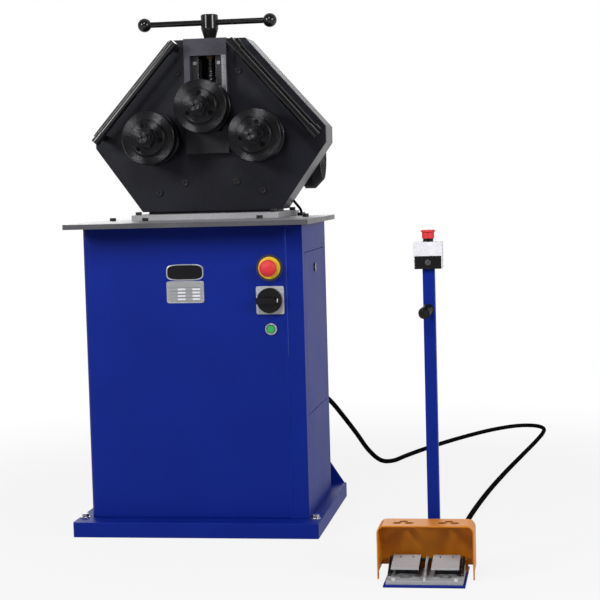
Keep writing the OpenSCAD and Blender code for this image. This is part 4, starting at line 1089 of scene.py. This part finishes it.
@dataclass
class Studio:
    """Floor, lamps, world and the camera of the photograph.

    Attributes:
        eye: Place of the camera.
        right: Direction to the picture's right.
        up: Direction to the picture's top.
        lens: Focal length in millimetres.
        sensor: Width of the sensor in millimetres.
        sight: Farthest distance that the camera draws.
        floor_size: Side of the floor.
        floor_grey: Colour of the floor for the light that it sends back.
        shadow_at: Point of the floor round which the object's shadow shows.
        shadow_reach: Distances from that point between which the shadow fades.
        shadow_white: Share of plain white at that point.
        white: Brightness of the background for the camera.
        dim: Brightness in reflections of the side behind the camera.
        ambient: Brightness of the soft light from all round.
        turn_white: Depths of a direction between which reflections go from dim to white.
        lamps: The lamps.
    """

    eye: Vec3 = (0.8650, -4.0038, 0.8419)
    right: Vec3 = (0.98755, 0.15494, -0.02715)
    up: Vec3 = (0.01549, 0.07588, 0.99701)
    lens: float = 97.44
    sensor: float = 36.0
    sight: float = 200.0
    floor_size: float = 60.0
    floor_grey: Color = (0.45, 0.45, 0.45)
    shadow_at: Vec3 = (0.2, 0.1, 0.0)
    shadow_reach: Pair = (0.7, 2.2)
    shadow_white: float = 0.86
    white: float = 1.0
    dim: float = 0.15
    ambient: float = 0.17
    turn_white: Pair = (-0.5, 0.3)
    lamps: tuple[Lamp, ...] = (
        Lamp("left_soft_box", at=(-2.4, -2.9, 2.1), aim=(0.1, 0.0, 0.75), size=1.0, power=84.0),
        Lamp("right_soft_box", at=(3.2, -2.3, 1.8), aim=(0.2, 0.0, 0.7), size=1.2, power=70.0),
        Lamp("back_soft", at=(-0.8, 3.2, 2.2), aim=(0.1, 0.2, 0.8), size=2.0, power=34.0),
        Lamp("top_soft", at=(0.1, -2.5, 2.8), aim=(0.05, 0.0, 0.8), size=0.8, power=42.0))

    def seen(self, tree: Tree) -> Shade:
        """One for camera, glossy and transmitted rays, else zero."""
        path = tree.node("ShaderNodeLightPath", out="Is Camera Ray")
        return (path + path.other("Is Glossy Ray") + path.other("Is Transmission Ray")) > 0.5

    def camera(self) -> None:
        """Sets the camera up with the picture's own directions."""
        right = Vector(self.right).normalized()
        back = right.cross(Vector(self.up)).normalized()
        up = back.cross(right)
        data = bpy.data.cameras.new("photo_camera")
        data.sensor_width = self.sensor
        data.lens = self.lens
        data.clip_end = self.sight
        made = add_object("photo_camera", data)
        turn = Matrix((right, up, back)).transposed().to_4x4()
        made.matrix_world = Matrix.Translation(self.eye) @ turn
        bpy.context.scene.camera = made

    def floor(self) -> None:
        """Lays the floor: one flat face, white to the camera but for part of the object's shadow near it."""
        tree = Tree("studio_floor")
        soft = tree.node("ShaderNodeBsdfDiffuse", None, {"Color": rgba(self.floor_grey)})
        glow = tree.node("ShaderNodeEmission", None, {"Color": rgba((1.0, 1.0, 1.0)), "Strength": self.white})
        x, y, _ = tree.parts(tree.place(self.shadow_at))
        share = x.away(y).ramp(*self.shadow_reach, self.shadow_white, 1.0)
        mixed = tree.node("ShaderNodeMixShader", None, {0: self.seen(tree) * share, 1: soft, 2: glow})
        tree.node("ShaderNodeOutputMaterial", None, {"Surface": mixed})
        corners = np.column_stack([SQUARE * self.floor_size, np.zeros(len(SQUARE))])
        mesh = bpy.data.meshes.new("studio_floor")
        mesh.from_pydata(corners.tolist(), [], [list(range(len(SQUARE)))])
        mesh.materials.append(tree.material)
        made = add_object("studio_floor", mesh)

    def world(self) -> None:
        """White for the camera, a white backdrop in reflections, and a plain soft light for the rest."""
        sky = bpy.data.worlds.new("studio_world")
        bpy.context.scene.world = sky
        sky.use_nodes = True
        tree = Tree.of(sky.node_tree)
        path = tree.node("ShaderNodeLightPath", out="Is Camera Ray")
        mirrored = (path.other("Is Glossy Ray") + path.other("Is Transmission Ray")) > 0.5
        depth = tree.parts(tree.node("ShaderNodeTexCoord", out="Generated"))[1]
        backdrop = mirrored * (depth.ramp(*self.turn_white, self.dim, self.white) - self.ambient)
        strength = path * self.white + (1.0 - path) * (backdrop + self.ambient)
        back = tree.node("ShaderNodeBackground", None, {"Color": rgba((1.0, 1.0, 1.0)), "Strength": strength})
        tree.node("ShaderNodeOutputWorld", None, {"Surface": back})

    def build(self) -> None:
        """Makes the whole studio."""
        bpy.context.scene.view_settings.view_transform = "Standard"
        self.camera()
        self.floor()
        self.world()
        for lamp in self.lamps:
            lamp.build()


@dataclass
class ControlCable:
    """The black cable on the floor between the cabinet's back and the pedals, and its glands.

    Attributes:
        route: Points of the route from the cabinet to the pedals.
        radius: Radius of the sheath.
        steps: Points worked out between two route points.
        sides: Points round the sheath.
        glands: Middle of each gland, on the face that carries it.
        nut_span: Start and end of a gland's grooved nut, from that face.
        nut_r: Outer radius of that nut.
        groove: Depth and distance of its grooves.
    """

    route: Sequence[Vec3] = (
        (0.225, 0.206, 0.285), (0.228, 0.250, 0.283), (0.238, 0.300, 0.268), (0.255, 0.352, 0.238),
        (0.277, 0.410, 0.192), (0.302, 0.478, 0.136), (0.326, 0.560, 0.074), (0.350, 0.655, 0.028),
        (0.376, 0.755, 0.009), (0.408, 0.860, 0.007), (0.462, 1.000, 0.007), (0.540, 1.170, 0.007),
        (0.625, 1.325, 0.007), (0.690, 1.410, 0.007), (0.740, 1.446, 0.007), (0.786, 1.438, 0.007),
        (0.812, 1.385, 0.007), (0.812, 1.290, 0.007), (0.790, 1.110, 0.007), (0.752, 0.850, 0.007),
        (0.710, 0.560, 0.007), (0.672, 0.260, 0.007), (0.643, -0.040, 0.007), (0.632, -0.280, 0.007),
        (0.631, -0.395, 0.010), (0.632, -0.478, 0.024), (0.633, -0.556, 0.040))
    radius: float = 0.0065
    steps: int = 10
    sides: int = 20
    glands: tuple[Vec3, Vec3] = ((0.225, 0.178, 0.285), (0.633, -0.584, 0.040))
    nut_span: Pair = (0.0092, 0.022)
    nut_r: float = 0.0119
    groove: Pair = (0.0005, 2.0 * math.pi / 2200.0)

    def gland(self, at: Vec3) -> Surface:
        """Six-sided body, grooved dome nut and tapered mouth of one gland, seated on a face that looks back.

        Each row is a radius, a station from the face and a six-sided share.

        Args:
            at: Middle of the gland on that face.

        Returns:
            Its skin.
        """
        body = [(0.0128, 0.0, 1.0), (0.0128, 0.0075, 1.0), (0.0118, 0.0088, 1.0), (0.0112, 0.0089, 0.0)]
        depth, distance = self.groove
        station = np.linspace(*self.nut_span, 30)
        radius = self.nut_r - depth * (np.sin(station * (2.0 * math.pi / distance)) > 0.2)
        nut = np.column_stack([radius, station, np.zeros_like(station)])
        mouth = [(0.0108, 0.0230, 0.0), (0.0094, 0.0262, 0.0), (0.0082, 0.0277, 0.0), (0.0066, 0.0279, 0.0)]
        return hex_turned(np.concatenate([body, nut, mouth]), at)

    def build(self) -> None:
        path = smooth_path(self.route, self.steps)
        sheath = tube(path, self.radius, self.sides, (0.0, 0.0, 1.0))
        cable = make_piece("control_cable", [sheath], RUBBER, "frame", ["pedal_cable"],
                           sharp=60.0)
        skins = [self.gland(at) for at in self.glands]
        glands = make_piece("control_cable_glands", skins, BLACK_PLASTIC, "frame",
                            ["cable_glands"])


@dataclass
class Cabinet:
    """Base, cabinet, door and table, with two bare plates on the front.

    Attributes:
        front: Y of the cabinet's front face.
        badge: Middle and size of the upper bare plate, on that face.
        rating: Middle and size of the lower bare plate, on that face.
        seam: X of the seam's edge, and its lowest and highest Z.
        seam_highlight_size: Width of the painted highlight on that edge, and its height over the front.
        badge_rim: How much wider and higher the upper plate's rim is.
        badge_form: Exponent of the upper plate's outline, and its border's share.
        rating_form: Exponent of the lower plate's outline, and its border's share.
        plate_t: Heights of the rim, the upper plate and the lower plate over the front.
        sunk: Height of the lower plate's middle over the front.
        rivet_inset: Distance of the rivets from the lower plate's edges.
        rule_shares: Heights of the rules from the lower plate's middle, as shares of its height.
        rule: Width of a rule as a share of the plate's width, its thickness and its height.
        field_shares: Places of the two columns of fields, as shares of the lower plate's width.
        blank: Width of a field as a share of the plate's width, its thickness, and its height as a share.
        blank_rise: Height of a field's middle over its rule, as a share of the plate's height.
    """

    front: float = -0.206
    badge: Vec4 = (-0.0165, 0.633, 0.086, 0.034)
    rating: Vec4 = (-0.0165, 0.5855, 0.092, 0.053)
    seam: Vec3 = (0.2306, 0.430, 0.742)
    seam_highlight_size: Pair = (0.0010, 0.00025)
    badge_rim: float = 0.005
    badge_form: Pair = (4.0, 0.10)
    rating_form: Pair = (14.0, 0.05)
    plate_t: Vec3 = (0.0008, 0.0012, 0.0010)
    sunk: float = 0.0005
    rivet_inset: float = 0.006
    rule_shares: Sequence[float] = (0.20, 0.05, -0.10, -0.25, -0.40)
    rule: Vec3 = (0.80, 0.00014, 0.0005)
    field_shares: Pair = (-0.10, 0.29)
    blank: Vec3 = (0.20, 0.00012, 0.08)
    blank_rise: float = 0.075

    def plates(self) -> None:
        """Makes the two bare plates, the lower one with a rivet in each corner."""
        rim_t, badge_t, rating_t = self.plate_t
        x, z, w, h = self.badge
        at = (x, self.front, z)
        rim = crowned_plate((w + self.badge_rim, h + self.badge_rim), rim_t, at, *self.badge_form)
        make_piece("bare_badge_rim", [rim], BRIGHT, "frame")
        plate = crowned_plate((w, h), badge_t, at, *self.badge_form)
        make_piece("bare_badge", [plate], BADGE, "frame")
        x, z, w, h = self.rating
        rivet = [(0.0019, 0.0), (0.0018, -0.0006), (0.0013, -0.0011), (0.0006, -0.0013), (0.00005, -0.00135)]
        half, rise = w / 2 - self.rivet_inset, h / 2 - self.rivet_inset
        skins = [crowned_plate((w, h), rating_t, (x, self.front, z), *self.rating_form)]
        skins += [turned(rivet, (x + sx * half, self.front - self.sunk, z + sz * rise), Axis.Y, 20)
                  for sx in (-1, 1) for sz in (-1, 1)]
        make_piece("bare_rating_plate", skins, PLATE, "frame")
        self.rating_fields()

    def rating_fields(self) -> None:
        """Rules of the lower plate and its empty fields: rows at even heights, fields in two columns."""
        x, z, w, h = self.rating
        face = self.front - self.sunk
        rows = z + h * np.array(self.rule_shares)
        rules = np.stack(np.broadcast_arrays(x, face, rows), axis=-1)
        wide, thick, high = self.rule
        skins = boxes((wide * w, thick, high), rules)
        make_piece("rating_plate_rules", skins, BLACK_SATIN, "frame")
        places = [(x + share * w, face, row + self.blank_rise * h)
                  for share in self.field_shares for row in rows[1:]]
        wide, thick, high = self.blank
        skins = boxes((wide * w, thick, high * h), np.array(places))
        make_piece("rating_plate_fields", skins, WHITE, "frame")

    def seam_highlight(self) -> None:
        """Painted highlight on the edge of the side panel's return, beside the seam in the front: one thin
        upright block of lighter blue.
        """
        x, low, high = self.seam
        width, proud = self.seam_highlight_size
        place = np.array([[x, self.front, (low + high) / 2]])
        make_piece("front_seam_highlight", boxes((width, proud, high - low), place), SEAM_HIGHLIGHT, "frame")

    def build(self) -> None:
        """Dresses the nodes, and makes the plates and the painted highlight on the seam's edge."""
        Finishes.dress({
            "base_tray": BLUE, "cabinet_wrap": WRAP, "cabinet_side": BLUE, "back_panel": BLUE,
            "side_door": BLUE, "floor_bolts": ZINC, "door_lock": BLACK_SATIN, "electrics_plate": ELECTRICS,
            "table_plate": TABLE, "machine_screws": BLACK_SATIN})
        self.plates()
        self.seam_highlight()


@dataclass
class FrontControls:
    """Stop button, main switch and start button on the cabinet's front.

    Attributes:
        x: X of the controls.
        switch_z: Height of the main switch.
        stop: Middle of the stop button's disc.
        start: Middle of the start button.
        face: Y of the switch plate's front face.
        knob_face: Y of the switch knob's front face.
        screw_gap: Distance of the plate's screws from its middle lines.
        mark_x: Distance of the knob's mark from its axis.
        mark_size: Width, thickness and height of that mark.
    """

    x: float = 0.190
    switch_z: float = 0.563
    stop: Vec3 = (0.190, -0.206, 0.640)
    start: Vec3 = (0.190, -0.206, 0.494)
    face: float = -0.210
    knob_face: float = -0.2243
    screw_gap: float = 0.0275
    mark_x: float = 0.0200
    mark_size: Vec3 = (0.0024, 0.0003, 0.0085)

    def plate_screws(self) -> None:
        """Four small domed screws in the corners of the switch plate."""
        dome = [(0.0024, 0.0), (0.0024, -0.0004), (0.0020, -0.0008), (0.0012, -0.0011), (0.0003, -0.0012)]
        gap = self.screw_gap
        skins = [turned(dome, (self.x + sx * gap, self.face, self.switch_z + sz * gap), Axis.Y, 24)
                 for sx in (-1, 1) for sz in (-1, 1)]
        make_piece("switch_plate_screws", skins, GREY_PLASTIC, "frame")

    def mark(self) -> None:
        """Plain white bar on the knob's face, beyond the end of its grip."""
        place = np.array([[self.x + self.mark_x, self.knob_face, self.switch_z]])
        make_piece("switch_mark", boxes(self.mark_size, place), WHITE, "main_switch")

    def build(self) -> None:
        """Dresses the nodes and adds the small pieces."""
        Finishes.dress({
            # The stop disc's dark rim is painted shade along the collar's edge.
            "estop_collar": RimmedDisc("stop_disc", (0.80, 0.50, 0.02), Sheen.SATIN, centre=self.stop),
            "estop_mushroom": RED, "switch_plate": GREY_PLASTIC, "switch_knob": BLACK_PLASTIC,
            "button_bezel": BRIGHT,
            "start_button": RimmedDisc("start_green", (0.018, 0.33, 0.080), Sheen.SEMI_GLOSS,
                                       centre=self.start, disc=(-0.001, 0.0092),
                                       dark=(0.003, 0.030, 0.010))})
        self.plate_screws()
        self.mark()


@dataclass
class RollHead:
    """Plates, slide, screw, rolls, gears and guide bars.

    Attributes:
        low_z: Height of the lower roll axes.
        top_z: Height of the top roll axis at rest.
        gap: Distance of the lower axes from the middle.
        screw: X and Y of the lifting screw.
        screw_span: Lowest and highest Z of the lifting screw.
        screw_r: Outer radius of its thread.
        pitch: Pitch of its thread.
        thread_depth: Depth of its thread.
        flank: Steepness of the thread's flanks, and how far its root is below their middle.
        collar: Radius of its thrust collar, that of the collar's chamfer, and the collar's height.
        scale: X, Y and the lowest and highest Z of the position scale's face.
        line: Width, thickness and height of a long line of that scale.
        line_gap: Distance between two lines.
        line_ends: Distance of the first and the last line from the scale's ends.
        short_share: Width of a short line as a share of a long one.
    """

    low_z: float = 0.960
    top_z: float = 1.035
    gap: float = 0.134
    screw: Pair = (0.0, 0.092)
    screw_span: Pair = (1.077, 1.211)
    screw_r: float = 0.013
    pitch: float = 0.010
    thread_depth: float = 0.0030
    flank: Pair = (2.6, 0.8)
    collar: Vec3 = (0.019, 0.0185, 0.0075)
    scale: Vec4 = (0.0475, 0.023, 1.015, 1.165)
    line: Vec3 = (0.008, 0.00012, 0.0007)
    line_gap: float = 0.004
    line_ends: Pair = (0.006, 0.004)
    short_share: float = 0.55

    def lifting_screw(self) -> None:
        """Square-topped thread over a thrust collar: radius = core + depth · step(z / pitch - turn)."""
        low, high = self.screw_span
        collar_r, chamfer_r, collar_h = self.collar
        hair = 0.0001
        foot = low + np.array([0.0, hair, collar_h - hair, collar_h])
        z = np.concatenate([foot, np.linspace(low + collar_h + hair, high, 190)])[:, None]
        angle = round_angles(72)
        turn = np.mod(z / self.pitch - angle / (2.0 * np.pi), 1.0)
        step = np.clip(self.flank[0] * np.abs(2.0 * turn - 1.0) - self.flank[1], 0.0, 1.0)
        radius = self.screw_r - self.thread_depth + self.thread_depth * step
        radius[:3] = collar_r
        radius[3] = chamfer_r
        x, y = self.screw[0] + radius * np.cos(angle), self.screw[1] + radius * np.sin(angle)
        skin = Surface(np.stack(np.broadcast_arrays(x, y, z), axis=-1))
        make_piece("lifting_screw_thread", [skin], SCREW, "screw_and_handle",
                   ["lifting_screw"])

    def graduations(self) -> None:
        """Plain lines on the position scale at even heights, every fifth longer, flush on the right."""
        x, y, low, high = self.scale
        z = np.arange(low + self.line_ends[0], high - self.line_ends[1], self.line_gap)
        widths = np.where(np.arange(len(z)) % 5 == 0, 1.0, self.short_share)
        flush = x + self.line[0] / 2 * (1.0 - widths)
        places = np.stack(np.broadcast_arrays(flush, y, z), axis=-1)
        make_piece("scale_lines", boxes(self.line, places, widths), BLACK_SATIN, "frame")

    def rolls(self) -> None:
        """Gives each roll its own lathe grain and thread, round its own axis."""
        axes = {"top": (0.0, 0.0, self.top_z), "left": (-self.gap, 0.0, self.low_z),
                "right": (self.gap, 0.0, self.low_z)}
        for side, centre in axes.items():
            Finishes.dress({
                f"{side}_roll_rings": replace(RING, name=f"{side}_roll_steel", centre=centre),
                f"{side}_shaft": replace(SHAFT, name=f"{side}_shaft_steel", centre=centre),
                f"{side}_roll_nut": replace(NUT, name=f"{side}_nut_steel", centre=centre)})

    def build(self) -> None:
        """Dresses the nodes and adds the thread and the scale's lines."""
        Finishes.dress({
            "head_base_plate": FOOT, "front_plate": CHARCOAL, "housing_rim": RIM_LIT, "back_plate": RIM_LIT,
            "slide_frame": SLIDE, "slide_strips": STRIP, "slide_rails": GEAR, "slide_block": GEAR,
            "slide_bearings": BRIGHT, "lower_bearings": BRIGHT, "nut_bush": BRONZE,
            "bearing_covers": CHARCOAL, "t_handle": BLACK_GLOSS, "guide_bars": BLACK_GLOSS,
            "guide_posts": BLACK_GLOSS, "left_gear": GEAR, "right_gear": GEAR, "drive_pinion": GEAR,
            "lifting_screw": BRIGHT})
        self.rolls()
        self.lifting_screw()
        self.graduations()


@dataclass
class DriveUnit:
    """Gearbox, motor, cowl, terminal box and lead behind the head.

    Attributes:
        cowl_end: Middle of the cowl's end face.
    """

    cowl_end: Vec3 = (0.259, 0.264, 0.910)

    def build(self) -> None:
        """Dresses the nodes."""
        Finishes.dress({
            "gearbox_housing": DRIVE, "motor_body": DRIVE, "terminal_box": DRIVE, "motor_lead": RUBBER,
            "fan_cowl": replace(COWL, centre=self.cowl_end)})


@dataclass
class FootStation:
    """Pedals under their guard, and the column with the remote stop.

    Attributes:
        pedals: Name, body and X of the middle of each pedal.
        low: Y and Z of the treadle's front edge.
        high: Y and Z of the treadle's back edge.
        slot: Width and length of a slot in a treadle, and the thickness of the black plate of painted shade
            that stands for it.
        slot_gap: Distance of the slots from the treadle's middle.
        slot_share: Place of the slots between the front and the back edge.
        plug: Middle of the blank plug on the remote stop's trim.
    """

    pedals: Sequence[tuple[str, str, float]] = (
        ("left", "pedal_left", 0.542), ("right", "pedal_right", 0.626))
    low: Pair = (-0.680, 0.034)
    high: Pair = (-0.609, 0.046)
    slot: Vec3 = (0.0020, 0.0080, 0.0002)
    slot_gap: float = 0.0130
    slot_share: float = 0.82
    plug: Vec3 = (0.596, -0.5795, 0.66468)

    def slots(self) -> None:
        """Two slots in each treadle, as painted shade: thin black plates that lie along the slope between its
        edges.
        """
        low, high = np.array([0.0, *self.low]), np.array([0.0, *self.high])
        along = (high - low) / np.linalg.norm(high - low)
        across = np.array([1.0, 0.0, 0.0])
        middle = low + self.slot_share * (high - low)
        for side, body, x in self.pedals:
            skins = [slab(middle + (x + s * self.slot_gap) * across, across, along, self.slot)
                     for s in (-1, 1)]
            make_piece(f"{side}_pedal_slot_shades", skins, BLACK_SATIN, body)

    def blank_plug(self) -> None:
        """Low domed plug without a mark, on the boss of the trim."""
        dome = [(0.0062, 0.0), (0.0062, -0.0004), (0.0056, -0.0008), (0.0035, -0.0011), (0.0001, -0.0012)]
        make_piece("remote_trim_plug", [turned(dome, self.plug, Axis.Y, 32)], PLUG, "frame")

    def build(self) -> None:
        """Dresses the nodes and adds the small pieces."""
        Finishes.dress({
            "pedal_stand": BLUE, "pedal_frame": PEDAL_FRAME, "left_pedal": PEDAL, "right_pedal": PEDAL,
            "pedal_guard": ORANGE, "remote_box": WHITE, "remote_trim": BLACK_PLASTIC, "remote_mushroom": RED,
            "column_grip": BLACK_PLASTIC, "cable_glands": BLACK_PLASTIC, "pedal_cable": RUBBER})
        self.slots()
        self.blank_plug()


def main() -> None:
    """Builds the studio and then each sub-assembly in order."""
    logging.basicConfig(level=logging.INFO, format="%(name)s: %(message)s")
    parts = (Studio(), FootStation(), ControlCable(), Cabinet(), FrontControls(), RollHead(), DriveUnit())
    for part in parts:
        LOG.info("building %s", type(part).__name__)
        part.build()


if __name__ == "__main__":
    main()
